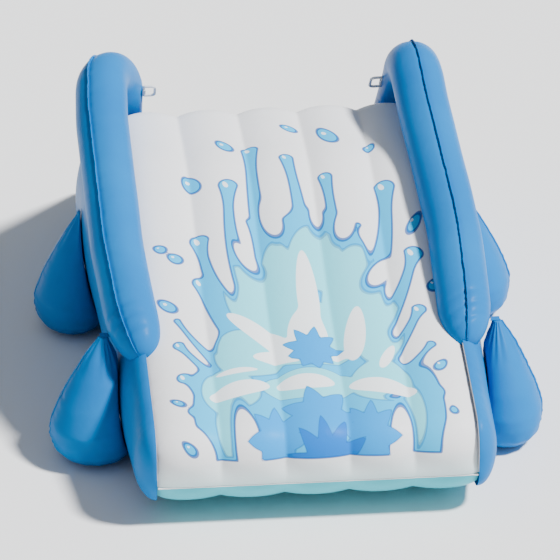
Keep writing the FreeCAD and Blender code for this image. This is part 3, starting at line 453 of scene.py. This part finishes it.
def splash_layers(across, along):
    """The stored distances of the printed layers, in metres, over the whole sheet."""
    arms = gather(across, along, ARMS, arm_field, 0.030)
    trunk = gather(across, along, TRUNK, oval_field, 0.05)
    sky = soft_union(arms, trunk, 0.035)
    for gap in TRUNK_GAPS:
        sky = -soft_union(-sky, oval_field(across, along, gap), 0.012)
    drops = np.maximum.reduce([oval_field(across, along, drop) for drop in DROPS])
    above = along - PRINT_START
    sky = np.maximum(np.minimum(sky, above), drops)
    pale = gather(across, along, PALE_LOBES, oval_field, 0.012)
    pale = np.minimum(np.minimum(pale, sky - 0.016), above)
    mid = np.minimum(np.maximum.reduce([burst_field(across, along, burst) for burst in BURSTS]), above)
    deep = np.minimum(burst_field(across, along, DEEP_BURST), above)
    shine = gather(across, along, [(x - 0.35 * w, y + 0.25 * h, 0.28 * w, 0.22 * h, lean)
                                   for x, y, w, h, lean in DROPS], oval_field, 0.002)
    heads = [(tip_x - 0.3 * head, tip_y + 0.2 * head, 0.26 * head, 0.5 * head, 0.3)
             for _, _, tip_x, tip_y, _, _, head, _ in ARMS if head > 0.025]
    shine = np.maximum(shine, gather(across, along, heads, oval_field, 0.002))
    hollow = gather(across, along, PALE_HOLLOWS, oval_field, 0.02)
    hollow = np.minimum(np.minimum(hollow, above), -mid - 0.004)
    curls = np.maximum.reduce([oval_field(across, along, curl) for curl in CURLS])
    shine = np.maximum(np.maximum(shine, hollow), np.minimum(curls, -mid - 0.004))
    return {"print_sky": sky, "print_pale": pale, "print_mid": mid, "print_deep": deep, "print_shine": shine}


# ------------------------------------------------------------------ the bed
bed_line = rounded(OUTLINE, closed=True)
bed_normal = normals_of(bed_line, closed=True)


def lobes(across):
    """Share of a tube's crown height across the bed: 0 at a seam, 1 on a crown."""
    place = np.clip((across + BED_HALF) / PITCH, 0.0, TUBES - 1e-6)
    middle = 2 * (place - np.floor(place)) - 1
    return 1 - np.abs(middle) ** 2.1


def stretch_of_line(first, last):
    """Points of the bed's outline from one spot to another, going round the lip to the deck."""
    def nearest(spot):
        return int(np.argmin(np.linalg.norm(bed_line - np.array(spot), axis=1)))

    start = nearest(first)
    stop = nearest(last)
    count = len(bed_line)
    if stop < start:
        stop += count
    picked = np.arange(start, stop + 1) % count
    return bed_line[picked], bed_normal[picked]


# Spots on the outline, along and up, where one sheet ends and the next starts.
WELD_SPOT = (-1.655, 0.190)
CREST_SPOT = (0.735, 0.795)
KEEL_SPOT = (1.380, 0.0008)
PRINTED_COLUMNS = 168
PLAIN_COLUMNS = 121
LIP_POINTS = 280
LIP_INSET = 0.004


def run_length(points):
    """Distance along a line of points, from its start."""
    steps = np.linalg.norm(np.diff(points, axis=0), axis=1)
    return np.concatenate([[0.0], np.cumsum(steps)])


def bed_sheet(line, normal, crown, dip, columns, edge_pucker=0.003):
    """A lobed sheet over a stretch of the outline; crown and dip change along it."""
    across = np.linspace(-BED_HALF, BED_HALF, columns)
    share = lobes(across)
    along = run_length(line)
    rise = crown[:, None] * share[None, :] - dip[:, None] * (1 - share[None, :])
    edge = np.exp(-(BED_HALF - np.abs(across)) / 0.028)
    ripple_left = wobble(along, 21.0, 3) + 0.6 * wobble(along, 47.0, 5)
    ripple_right = wobble(along, 23.0, 8) + 0.6 * wobble(along, 44.0, 11)
    ripple = np.where(across[None, :] < 0, ripple_left[:, None], ripple_right[:, None])
    rise = rise + edge_pucker * ripple * edge[None, :] - 0.012 * edge[None, :]
    grid = np.zeros((len(line), columns, 3))
    grid[:, :, 0] = across[None, :]
    grid[:, :, 1] = line[:, None, 0] + normal[:, None, 0] * rise
    grid[:, :, 2] = line[:, None, 1] + normal[:, None, 1] * rise
    return grid, across, along


def smoothed(values, span):
    """Averages each value with its neighbours over an odd span."""
    kernel = np.hanning(span)
    return np.convolve(np.pad(values, span // 2, mode="edge"), kernel / kernel.sum(), mode="valid")


def ease(value, start, stop):
    """Smooth step from 0 at start to 1 at stop."""
    t = np.clip((value - start) / (stop - start), 0.0, 1.0)
    return t * t * (3 - 2 * t)


def dome(share, power=2.0, least=0.0):
    """Rises from an end like a round cap: least at share 0, full from share 1."""
    return np.sqrt(np.clip(1 - (1 - np.clip(share, 0, 1)) ** power, least, 1.0))


def build_bed_skins():
    """The printed sheet, the aqua underside and the blue rear sheet."""
    line, normal = stretch_of_line(CREST_SPOT, WELD_SPOT)
    line = line[::-1]
    normal = normal[::-1]
    reach = run_length(line)
    full = ease(reach, 0.0, 0.10)
    grid, across, along = bed_sheet(line, normal, 0.002 + 0.010 * full, 0.016 * full, PRINTED_COLUMNS)
    skin = surface("sliding_skin", grid, flip=True, material=WHITE_PRINT)
    layers = splash_layers(np.broadcast_to(across[None, :], grid.shape[:2]),
                           np.broadcast_to(along[:, None], grid.shape[:2]))
    for layer, values in layers.items():
        stored = skin.data.attributes.new(layer, "FLOAT", "POINT")
        stored.data.foreach_set("value", values.reshape(-1).astype(np.float32))
    finish_piece(skin, ["sliding_sheet"])

    under, under_normal = stretch_of_line(WELD_SPOT, KEEL_SPOT)
    spread = run_length(under)
    hang = ease(spread, 0.0, 0.05) * (1 - ease(spread, 0.28, 0.5))
    grid = bed_sheet(under, under_normal, 0.004 * hang, 0.011 * hang, PLAIN_COLUMNS, edge_pucker=0.0)[0]
    grid[:, :, 2] = np.maximum(grid[:, :, 2], 0.0)
    piece = surface("underside_skin", grid, flip=True, material=AQUA)
    finish_piece(piece, ["underside_sheet"] + ["bed_tube_%d" % (n + 1) for n in range(TUBES)])

    rear, rear_normal = stretch_of_line(KEEL_SPOT, CREST_SPOT)
    swell = 0.010 * ease(run_length(rear), 0.05, 0.25)
    grid = bed_sheet(rear, rear_normal, swell, swell, PLAIN_COLUMNS)[0]
    grid[:, :, 2] = np.maximum(grid[:, :, 2], 0.0)
    piece = surface("rear_skin", grid, flip=True, material=BLUE)
    finish_piece(piece, ["rear_sheet"])


def ribbon(name, spine, outward, width, wave=0.0015, seed=1, material=BLUE, half_thick=0.0009, root=-0.003):
    """A welded flange: a thin wavy strip that stands outward along a spine."""
    along = np.gradient(spine, axis=0)
    along /= np.linalg.norm(along, axis=1)[:, None]
    side = np.cross(along, outward)
    side /= np.linalg.norm(side, axis=1)[:, None]
    reach = run_length(spine)
    sway = wave * (wobble(reach, 58.0, seed) + 0.7 * wobble(reach, 27.0, seed + 3))
    grid = np.zeros((len(spine), 4, 3))
    for n, (lift, across) in enumerate(((root, -half_thick), (width, -half_thick), (width, half_thick),
                                        (root, half_thick))):
        share = max(0.0, lift) / width
        grid[:, n] = spine + outward * lift + side * (across + sway[:, None] * share)
    grid[:, :, 2] = np.maximum(grid[:, :, 2], 0.0005)
    strip = surface(name, grid, around=True, material=material)
    close_ends(strip)
    return strip


def close_ends(piece):
    """Caps the open rims of a tube and turns its faces outward."""
    work = bmesh.new()
    work.from_mesh(piece.data)
    rims = [edge for edge in work.edges if edge.is_boundary]
    bmesh.ops.holes_fill(work, edges=rims, sides=0)
    bmesh.ops.recalc_face_normals(work, faces=work.faces)
    for face in work.faces:
        face.smooth = True
    work.to_mesh(piece.data)
    work.free()


# Smallest and largest scale of a pressed rib.
RIB_LEAST = (0.7, 0.7, 0.75)
RIB_MOST = (1.25, 1.3, 1.2)


def row_along(name, spine, pitch, tooth, material, seed):
    """Repeats a small pressed rib along a spine, each a little different."""
    path = bpy.data.meshes.new(name)
    path.from_pydata(spine.tolist(), [(n, n + 1) for n in range(len(spine) - 1)], [])
    piece = add_object(name, path)
    tree = bpy.data.node_groups.new(name + "_tree", "GeometryNodeTree")
    tree.interface.new_socket("Geometry", in_out="INPUT", socket_type="NodeSocketGeometry")
    pitch_socket = tree.interface.new_socket("Rib pitch", in_out="INPUT", socket_type="NodeSocketFloat")
    size_socket = tree.interface.new_socket("Rib size", in_out="INPUT", socket_type="NodeSocketVector")
    tree.interface.new_socket("Geometry", in_out="OUTPUT", socket_type="NodeSocketGeometry")
    source = tree.nodes.new("NodeGroupInput")
    curve = tree.nodes.new("GeometryNodeMeshToCurve")
    spots = tree.nodes.new("GeometryNodeCurveToPoints")
    spots.mode = "LENGTH"
    rib = tree.nodes.new("GeometryNodeMeshCube")
    place = tree.nodes.new("GeometryNodeInstanceOnPoints")
    uneven = tree.nodes.new("FunctionNodeRandomValue")
    uneven.data_type = "FLOAT_VECTOR"
    uneven.inputs["Min"].default_value = RIB_LEAST
    uneven.inputs["Max"].default_value = RIB_MOST
    uneven.inputs["Seed"].default_value = seed
    real = tree.nodes.new("GeometryNodeRealizeInstances")
    paint = tree.nodes.new("GeometryNodeSetMaterial")
    paint.inputs["Material"].default_value = material
    sink = tree.nodes.new("NodeGroupOutput")
    for start, output, stop, socket in (
            (source, "Geometry", curve, "Mesh"), (curve, "Curve", spots, "Curve"),
            (source, "Rib pitch", spots, "Length"), (source, "Rib size", rib, "Size"),
            (spots, "Points", place, "Points"), (spots, "Rotation", place, "Rotation"),
            (rib, "Mesh", place, "Instance"), (uneven, "Value", place, "Scale"),
            (place, "Instances", real, "Geometry"), (real, "Geometry", paint, "Geometry"),
            (paint, "Geometry", sink, "Geometry")):
        tree.links.new(start.outputs[output], stop.inputs[socket])
    stamp = piece.modifiers.new("ribs", "NODES")
    stamp.node_group = tree
    stamp[pitch_socket.identifier] = pitch
    stamp[size_socket.identifier] = tooth
    settle(piece)
    return piece


def build_lip_weld():
    """The flat welded seam that crosses the lip, with its pressed ribs."""
    spot = np.array(WELD_SPOT)
    out = bed_normal[int(np.argmin(np.linalg.norm(bed_line - spot, axis=1)))]
    across = np.linspace(-BED_HALF + LIP_INSET, BED_HALF - LIP_INSET, LIP_POINTS)
    spine = np.stack([across, np.full(LIP_POINTS, spot[0]), np.full(LIP_POINTS, spot[1])], axis=1)
    outward = np.broadcast_to(np.array((0.0, out[0], out[1])), spine.shape)
    flange = ribbon("lip_flange", spine, outward, 0.009, wave=0.0010, seed=4, material=WELD_WHITE,
                    half_thick=0.0012)
    ribs = row_along("lip_ribs", spine + outward * 0.006, 0.009, (0.0030, 0.0034, 0.0022), WELD_WHITE, 3)
    finish_piece(join("lip_weld", [flange, ribs]), [])


def build_edge_welds(side_name, side):
    """Flanges where the slide's sheets meet the sides."""
    line, normal = stretch_of_line(CREST_SPOT, WELD_SPOT)
    front = line[:, 0] < -0.70
    spine = np.zeros((int(front.sum()), 3))
    spine[:, 0] = side * (BED_HALF + 0.001)
    spine[:, 1:] = line[front] - normal[front] * 0.013
    outward = np.zeros_like(spine)
    outward[:, 0] = side * 0.75
    outward[:, 1:] = normal[front] * 0.66
    strip = ribbon("edge_weld_" + side_name, spine, outward, 0.007, wave=0.0030, seed=30 + side,
                   material=WELD_WHITE)
    finish_piece(strip, [])


# Swell of a side past the bed: place along, distance.
SIDE_SWELL = [(-1.67, 0.085), (-1.25, 0.100), (-0.4, 0.140), (0.30, 0.185), (0.72, 0.185), (1.0, 0.1235),
              (1.10, 0.1210), (1.50, 0.095)]
# Length over which a side draws in to its front and to its rear end.
SIDE_FRONT_TAPER = 0.15
SIDE_REAR_TAPER = 0.13


def side_section(place):
    """Lower and upper height and the swell of a side at places along the slide."""
    front = int(np.argmin(bed_line[:, 0]))
    rear = int(np.argmax(bed_line[:, 0]))
    count = len(bed_line)
    if rear < front:
        rear += count
    lower = bed_line[np.arange(front, rear + 1) % count]
    upper = bed_line[np.arange(rear, front + count + 1) % count][::-1]
    low = np.interp(place, lower[:, 0], lower[:, 1])
    high = np.interp(place, upper[:, 0], upper[:, 1])
    amount = np.interp(place, [p for p, _ in SIDE_SWELL], [d for _, d in SIDE_SWELL])
    ends = np.minimum((place - lower[0, 0]) / SIDE_FRONT_TAPER, (lower[-1, 0] - place) / SIDE_REAR_TAPER)
    return low, high, amount * dome(ends)


def side_reach(place, up):
    """How far out a side stands at points along and above the ground."""
    low, high, amount = side_section(place)
    share = np.clip((2 * up - low - high) / np.maximum(high - low, 1e-4), -1, 1)
    return BED_HALF + amount * np.sqrt(1 - share ** 2)


def build_side_wall(side_name, side):
    """The blown-out side of the bed, puckered where it is welded to the sheets."""
    start = float(bed_line[:, 0].min())
    length = float(bed_line[:, 0].max()) - start
    t = np.linspace(0.0, 1.0, 340)
    place = start + length * (t - 0.9 * np.sin(2 * math.pi * t) / (2 * math.pi))
    low, high, amount = side_section(place)
    turn = np.linspace(-math.pi / 2, math.pi / 2, 49)
    v = np.sin(turn)
    rim = np.exp(-(1 - np.abs(v)) * 7.0)
    ripple_high = wobble(place, 19.0, 2 + side) + 0.6 * wobble(place, 43.0, 9 + side)
    ripple_low = wobble(place, 17.0, 22 + side) + 0.6 * wobble(place, 39.0, 29 + side)
    ripple = np.where(v[None, :] > 0, ripple_high[:, None], ripple_low[:, None])
    grid = np.zeros((len(place), len(v), 3))
    grid[:, :, 0] = side * (BED_HALF + amount[:, None] * np.cos(turn)[None, :]
                            + 0.0065 * ripple * rim[None, :] * np.cos(turn)[None, :] ** 0.5)
    grid[:, :, 1] = place[:, None]
    grid[:, :, 2] = np.maximum((high + low)[:, None] / 2 + (high - low)[:, None] / 2 * v[None, :], 0.0)
    piece = surface("side_skin_" + side_name, grid, flip=side > 0, material=BLUE)
    finish_piece(piece, ["side_wall_" + side_name])


# ------------------------------------------------------------------ rails
def rail_space(points, side):
    """Puts points of a rail's own plane (out, along, up) where that rail stands."""
    turned = side * RAIL_TOE
    out = points[..., 0] * side
    moved = np.empty_like(points)
    moved[..., 0] = side * RAIL_OFFSET + out * math.cos(turned) - points[..., 1] * math.sin(turned)
    moved[..., 1] = out * math.sin(turned) + points[..., 1] * math.cos(turned)
    moved[..., 2] = points[..., 2]
    return moved


def rail_path():
    """Middle line of a rail, carried on down to the end of its tapered tip."""
    first = np.array(RAIL_LINE[0][:2])
    second = np.array(RAIL_LINE[1][:2])
    back = (first - second) / np.linalg.norm(first - second)
    tip = first + back * RAIL_TIP_LENGTH
    return rounded([(tip[0], tip[1], 0.0)] + list(RAIL_LINE[1:]), closed=False, step=0.008)


# Dish around a rail valve: its depth under the rim, its rise, and the radii of its floor, edge and reach.
DISH_DROP = 0.0065
DISH_RISE = 0.060
DISH_FLOOR = 0.038
DISH_EDGE = 0.095
DISH_REACH = 0.10
# Only vinyl farther out than this is dished.
DISH_INNER = 0.62


def valve_dish(points, side_name, side):
    """Draws the rail's vinyl in to the flange of its valve."""
    low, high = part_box("rail_%s_valve_base" % side_name)
    rim = max(abs(low[0]), abs(high[0]))
    away = np.hypot(points[..., 1] - (low[1] + high[1]) / 2, points[..., 2] - (low[2] + high[2]) / 2)
    level = rim - DISH_DROP + DISH_RISE * ease(away, DISH_FLOOR, DISH_EDGE)
    held = np.where((points[..., 0] * side > DISH_INNER) & (away < DISH_REACH), level, 1e3)
    dished = points.copy()
    dished[..., 0] = side * np.minimum(points[..., 0] * side, held)
    return dished


# Sideways lean of the soft front legs: place along, outward distance for the left and right rail.
RAIL_LEAN = [(-1.10, -0.040, -0.038), (-0.85, 0.004, -0.012), (-0.50, 0.048, 0.006), (0.25, 0.086, -0.014),
             (0.50, 0.080, -0.012), (0.78, 0.0, 0.0), (1.60, 0.0, 0.0)]
# Outboard turn of each rail's weld ridge from its top.
WELD_RIDGES = {-1: 0.55, 1: 0.04}
# Cross folds at a rail's tip: distance from the tip, depth.
RAIL_FOLDS = [(0.085, 0.010), (0.150, 0.008), (0.215, 0.006)]
LEAN_SPAN = 31
# Lengths over which a rail narrows to its tip and rounds off at its foot.
RAIL_TAPER = 0.26
RAIL_FOOT = 0.07


def build_rail(side_name, side):
    """An inflated arch of two welded panels, puckered along the weld."""
    path = rail_path()
    normal = normals_of(path, closed=False)
    if normal[len(normal) // 4][1] < 0:
        normal = -normal
    reach = run_length(path)
    column = 1 if side < 0 else 2
    lean = np.interp(path[:, 0], [row[0] for row in RAIL_LEAN], [row[column] for row in RAIL_LEAN])
    lean = smoothed(lean, LEAN_SPAN)
    taper = dome(reach / RAIL_TAPER, 2.4, 0.003)
    end = dome((reach[-1] - reach) / RAIL_FOOT, 2.2, 0.02)
    radius = RAIL_RADIUS * taper * end
    ridge = WELD_RIDGES[side]
    angle = np.linspace(0.0, 2 * math.pi, 80, endpoint=False)
    from_ridge = (angle - ridge + math.pi) % (2 * math.pi) - math.pi
    pucker = wobble(reach, 30.0, 5 + side) + 0.8 * wobble(reach, 66.0, 13 + side)
    strong = 0.45 + 1.6 * np.exp(-reach / 0.25) + 0.8 * np.exp(-((reach - 1.95) / 0.40) ** 2)
    narrow = np.exp(-np.abs(from_ridge) / 0.20)
    wide = np.exp(-(from_ridge / 0.75) ** 2)
    wrinkle = 0.0042 * (pucker * strong)[:, None] * narrow[None, :]
    for spot, depth in RAIL_FOLDS:
        skew = 0.035 * from_ridge[None, :] * side
        fold = np.exp(-((reach[:, None] - spot - skew) / 0.013) ** 2)
        wrinkle = wrinkle - depth * fold * wide[None, :]
    slow = 0.0015 * wobble(reach, 5.0, 71 + side)
    crease = 0.004 * np.exp(-(from_ridge / 0.10) ** 2)
    local = radius[:, None] * (1.0 - 0.035 * np.cos(2 * from_ridge))[None, :] - crease[None, :]
    local = local + (wrinkle + slow[:, None]) * (radius / RAIL_RADIUS)[:, None]
    grid = np.zeros((len(path), len(angle), 3))
    grid[:, :, 0] = np.sin(angle)[None, :] * local + lean[:, None]
    grid[:, :, 1] = path[:, None, 0] + normal[:, None, 0] * np.cos(angle)[None, :] * local
    grid[:, :, 2] = path[:, None, 1] + normal[:, None, 1] * np.cos(angle)[None, :] * local
    grid[:, :, 2] = np.maximum(grid[:, :, 2], 0.0005)
    skin = surface("rail_skin_" + side_name, valve_dish(rail_space(grid, side), side_name, side), around=True)
    close_ends(skin)
    crest = np.zeros((len(path), 3))
    ahead = np.zeros((len(path), 3))
    top = radius * 0.965 - 0.004
    crest[:, 0] = math.sin(ridge) * top + lean
    crest[:, 1:] = path + normal * (math.cos(ridge) * top)[:, None]
    ahead[:, 0] = math.sin(ridge)
    ahead[:, 1:] = normal * math.cos(ridge)
    spine = rail_space(crest, side)
    outward = rail_space(crest + ahead, side) - spine
    flange = ribbon("rail_flange", spine, outward, 0.0125, wave=0.0030, seed=21 + side, root=-0.004)
    ribs = row_along("rail_ribs", spine + outward * 0.007, 0.0105, (0.0040, 0.0050, 0.0032), BLUE, 7 + side)
    whole = join("rail_skin_" + side_name, [skin, flange, ribs])
    finish_piece(whole, ["rail_" + side_name])


def build_rail_panel(side_name, side):
    """The slightly swollen panel between a rail and the bed."""
    path = rail_path()
    picked = path[(path[:, 0] > -0.55) & (path[:, 0] < 1.45) & (path[:, 1] > 0.15)]
    top = bed_line[(bed_line[:, 1] > 0.1) & (bed_line[:, 0] > -1.2)]
    foot = np.array([top[int(np.argmin(np.linalg.norm(top - point, axis=1)))] for point in picked])
    share = np.linspace(0.0, 1.0, 16)
    faces = []
    for face in (1, -1):
        grid = np.zeros((len(picked), len(share), 3))
        grid[:, :, 0] = face * (0.004 + 0.022 * np.sin(math.pi * share))[None, :]
        grid[:, :, 1:] = picked[:, None, :] * (1 - share)[None, :, None] + foot[:, None, :] * share[None, :, None]
        faces.append(surface("panel_face", rail_space(grid, side), flip=(face * side) < 0))
    finish_piece(join("rail_panel_" + side_name, faces), ["rail_web_" + side_name])


# ------------------------------------------------------------------ climbing rolls
# Length of a roll's round end, turn of its weld from the rear, and where the weld stops short of an end.
ROLL_END = 0.06
ROLL_SEAM = 0.95
SEAM_INSET = 0.02


def build_roll(index):
    """An inflated roll with gathered round ends and a weld along its upper rear."""
    low, high = (np.array(corner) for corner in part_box("step_roll_%d" % index))
    middle = (low + high) / 2
    half = (high[0] - low[0]) / 2
    radius = (high[1] - low[1]) / 2
    across = half * np.sin(np.linspace(-math.pi / 2, math.pi / 2, 190))
    angle = np.linspace(0, 2 * math.pi, 64, endpoint=False)
    inset = half - np.abs(across)
    size = dome(inset / ROLL_END, least=0.004)
    gathered = np.exp(-inset / 0.05)
    pleat = np.cos(angle * 15 + 3 * np.sin(angle * 2 + index))
    seam = np.exp(-np.abs((angle - ROLL_SEAM + math.pi) % (2 * math.pi) - math.pi) / 0.2)
    pucker = wobble(across, 32.0, 31 + index) + 0.6 * wobble(across, 70.0, 36 + index)
    local = radius * size[:, None] * (1 - 0.022 * gathered[:, None] * (1 + pleat[None, :]))
    local = local + 0.0022 * pucker[:, None] * seam[None, :] * size[:, None]
    grid = np.zeros((len(across), len(angle), 3))
    grid[:, :, 0] = across[:, None]
    grid[:, :, 1] = middle[1] + local * np.cos(angle)[None, :]
    grid[:, :, 2] = np.maximum(middle[2] + local * np.sin(angle)[None, :], 0.0)
    skin = surface("step_skin", grid, around=True)
    close_ends(skin)
    kept = inset > SEAM_INSET
    spine = np.zeros((int(kept.sum()), 3))
    spine[:, 0] = across[kept]
    spine[:, 1] = middle[1] + radius * size[kept] * math.cos(ROLL_SEAM)
    spine[:, 2] = middle[2] + radius * size[kept] * math.sin(ROLL_SEAM)
    outward = np.broadcast_to(np.array((0.0, math.cos(ROLL_SEAM), math.sin(ROLL_SEAM))), spine.shape)
    flange = ribbon("step_flange", spine, outward, 0.009, wave=0.0022, seed=50 + index)
    whole = join("step_skin_%d" % index, [skin, flange])
    finish_piece(whole, ["step_roll_%d" % index])


# ------------------------------------------------------------------ ballast bags
# Girth of a bag at shares of its height.
BAG_PROFILE = [(0.0, 0.0), (0.015, 0.50), (0.05, 0.76), (0.12, 0.94), (0.22, 1.0), (0.32, 0.99), (0.50, 0.83),
               (0.68, 0.61), (0.84, 0.38), (0.93, 0.22), (1.0, 0.09)]
# Middle of the belly and half its width for each bag.
BAG_PLACES = {("front", -1): (0.880, 0.190), ("front", 1): (0.862, 0.162),
              ("rear", -1): (0.900, 0.165), ("rear", 1): (0.900, 0.150)}
# Half depth, rows of points, and where the gathered top stands and how far back it leans.
BAG_HALF_DEPTH = 0.208
BAG_ROWS = 110
BAG_APEX_X = 0.835
BAG_APEX_LEAN = 0.060
# Middle of a bag from its CAD solid's front, and how far each end's bags stand forward of it.
BAG_MIDDLE = 0.190
BAG_FORWARD = {"front": 0.010, "rear": 0.004}
BAG_SEEDS = {"front": 3, "rear": 7}
# A bag lies this far off the side, and turns flat against it over this distance.
WALL_GAP = 0.004
WALL_BLEND = 0.022
GIRTH_SPAN = 9


def build_bag(end_name, side_name, side):
    """A welded teardrop pouch, fat with water below and gathered to its strap."""
    node = "ballast_bag_%s_%s" % (end_name, side_name)
    low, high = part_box(node)
    height = high[2] - low[2]
    middle_x, half_x = BAG_PLACES[(end_name, side)]
    middle_y = low[1] + BAG_MIDDLE - BAG_FORWARD[end_name]
    share = np.linspace(0.0, 1.0, BAG_ROWS) ** 1.15
    width = np.interp(share, [p[0] for p in BAG_PROFILE], [p[1] for p in BAG_PROFILE])
    width = smoothed(width, GIRTH_SPAN)
    width[0] = 0.02
    angle = np.linspace(0.0, 2 * math.pi, 84, endpoint=False)
    seed = 40 + BAG_SEEDS[end_name] + side
    reach = np.clip((share - 0.3) / 0.7, 0, 1) ** 1.3
    seam = np.exp(-(1 - np.abs(np.cos(angle))) / 0.05)
    uneven = wobble(share * height, 34.0, seed) + 0.7 * wobble(share * height, 70.0, seed + 5)
    fold = uneven[:, None] * seam[None, :]
    gathers = np.cos(angle * 11 + seed + 2 * np.sin(angle * 3))[None, :] * ease(share, 0.66, 1.0)[:, None]
    sag = np.exp(-((share - 0.10) / 0.07) ** 2)[:, None] * np.cos(angle * 14 + seed)[None, :]
    local = width[:, None] * (1 + 0.06 * gathers + 0.010 * sag) + 0.022 * fold * np.sqrt(width)[:, None]
    grid = np.zeros((BAG_ROWS, len(angle), 3))
    grid[:, :, 1] = middle_y + BAG_APEX_LEAN * reach[:, None] + np.sin(angle)[None, :] * local * BAG_HALF_DEPTH
    grid[:, :, 2] = np.maximum(share[:, None] * height * np.ones((1, len(angle))), 0.0)
    middle_line = middle_x - (middle_x - BAG_APEX_X) * reach
    out = middle_line[:, None] + np.cos(angle)[None, :] * local * half_x
    wall = side_reach(grid[:, :, 1], grid[:, :, 2]) + WALL_GAP
    room = out - wall
    grid[:, :, 0] = side * (wall + (room + np.sqrt(room ** 2 + WALL_BLEND ** 2)) / 2)
    skin = surface("bag_skin", grid, around=True)
    close_ends(skin)
    parts = [skin]
    for turn, column in ((1.0, 0), (-1.0, len(angle) // 2)):
        kept = share > 0.05
        spine = grid[kept, column]
        outward = np.zeros_like(spine)
        outward[:, 0] = turn
        parts.append(ribbon("bag_flange", spine, outward, 0.008, wave=0.0022, seed=seed + column))
    whole = join(node + "_skin", parts)
    finish_piece(whole, [node])


# ------------------------------------------------------------------ carried-over pieces
NODE_FINISH = [("web_", FILM), ("valve", CLEAR), ("flap", CLEAR), ("bag_filler", CLEAR), ("bag_plug", CLEAR),
               ("handle_patch", BLUE), ("handle", GREY), ("spray", DARK), ("hose_washer", RUBBER), ("hose", DARK),
               ("bag_strap", BLUE)]


def finish_nodes():
    """Gives each carried-over CAD piece its own finish."""
    for name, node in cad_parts.items():
        finish = next((material for key, material in NODE_FINISH if key in name), None)
        if finish is None or name.startswith("rail_web"):
            continue
        if node.material_slots:
            for place in node.material_slots:
                place.material = finish
        else:
            node.data.materials.append(finish)


# ------------------------------------------------------------------ studio
FLOOR_HALF = 40.0
FLOOR_DROP = 0.0005
SKY_STRENGTH = 0.36
KEY_STRENGTH = 7.4
KEY_SPREAD = 0.14
KEY_DIRECTION = Vector((0.85, -0.30, 1.2))


def add_studio():
    """Pale floor, a soft key light from the upper right and a pale sky."""
    floor = bpy.data.meshes.new("floor")
    corners = [(x * FLOOR_HALF, y * FLOOR_HALF, -FLOOR_DROP) for x, y in ((-1, -1), (1, -1), (1, 1), (-1, 1))]
    floor.from_pydata(corners, [], [(0, 1, 2, 3)])
    ground = add_object("floor", floor)
    pale = bpy.data.materials.new("floor_pale")
    pale.use_nodes = True
    shader = pale.node_tree.nodes["Principled BSDF"]
    shader.inputs["Base Color"].default_value = (0.92, 0.92, 0.92, 1.0)
    shader.inputs["Roughness"].default_value = 0.9
    floor.materials.append(pale)
    world = bpy.data.worlds.new("studio")
    world.use_nodes = True
    sky = world.node_tree.nodes["Background"]
    sky.inputs["Color"].default_value = (0.90, 0.95, 1.0, 1.0)
    sky.inputs["Strength"].default_value = SKY_STRENGTH
    SCENE.world = world
    lamp = bpy.data.lights.new("key", "SUN")
    lamp.energy = KEY_STRENGTH
    lamp.angle = KEY_SPREAD
    holder = add_object("key", lamp)
    holder.location = (5.0, -1.6, 7.0)
    holder.rotation_euler = KEY_DIRECTION.to_track_quat("Z", "Y").to_euler()


build_bed_skins()
build_lip_weld()
for side_name, side in (("left", -1), ("right", 1)):
    build_edge_welds(side_name, side)
    build_side_wall(side_name, side)
    build_rail(side_name, side)
    build_rail_panel(side_name, side)
    for end_name in ("front", "rear"):
        build_bag(end_name, side_name, side)
for index in (1, 2, 3):
    build_roll(index)
finish_nodes()
add_studio()
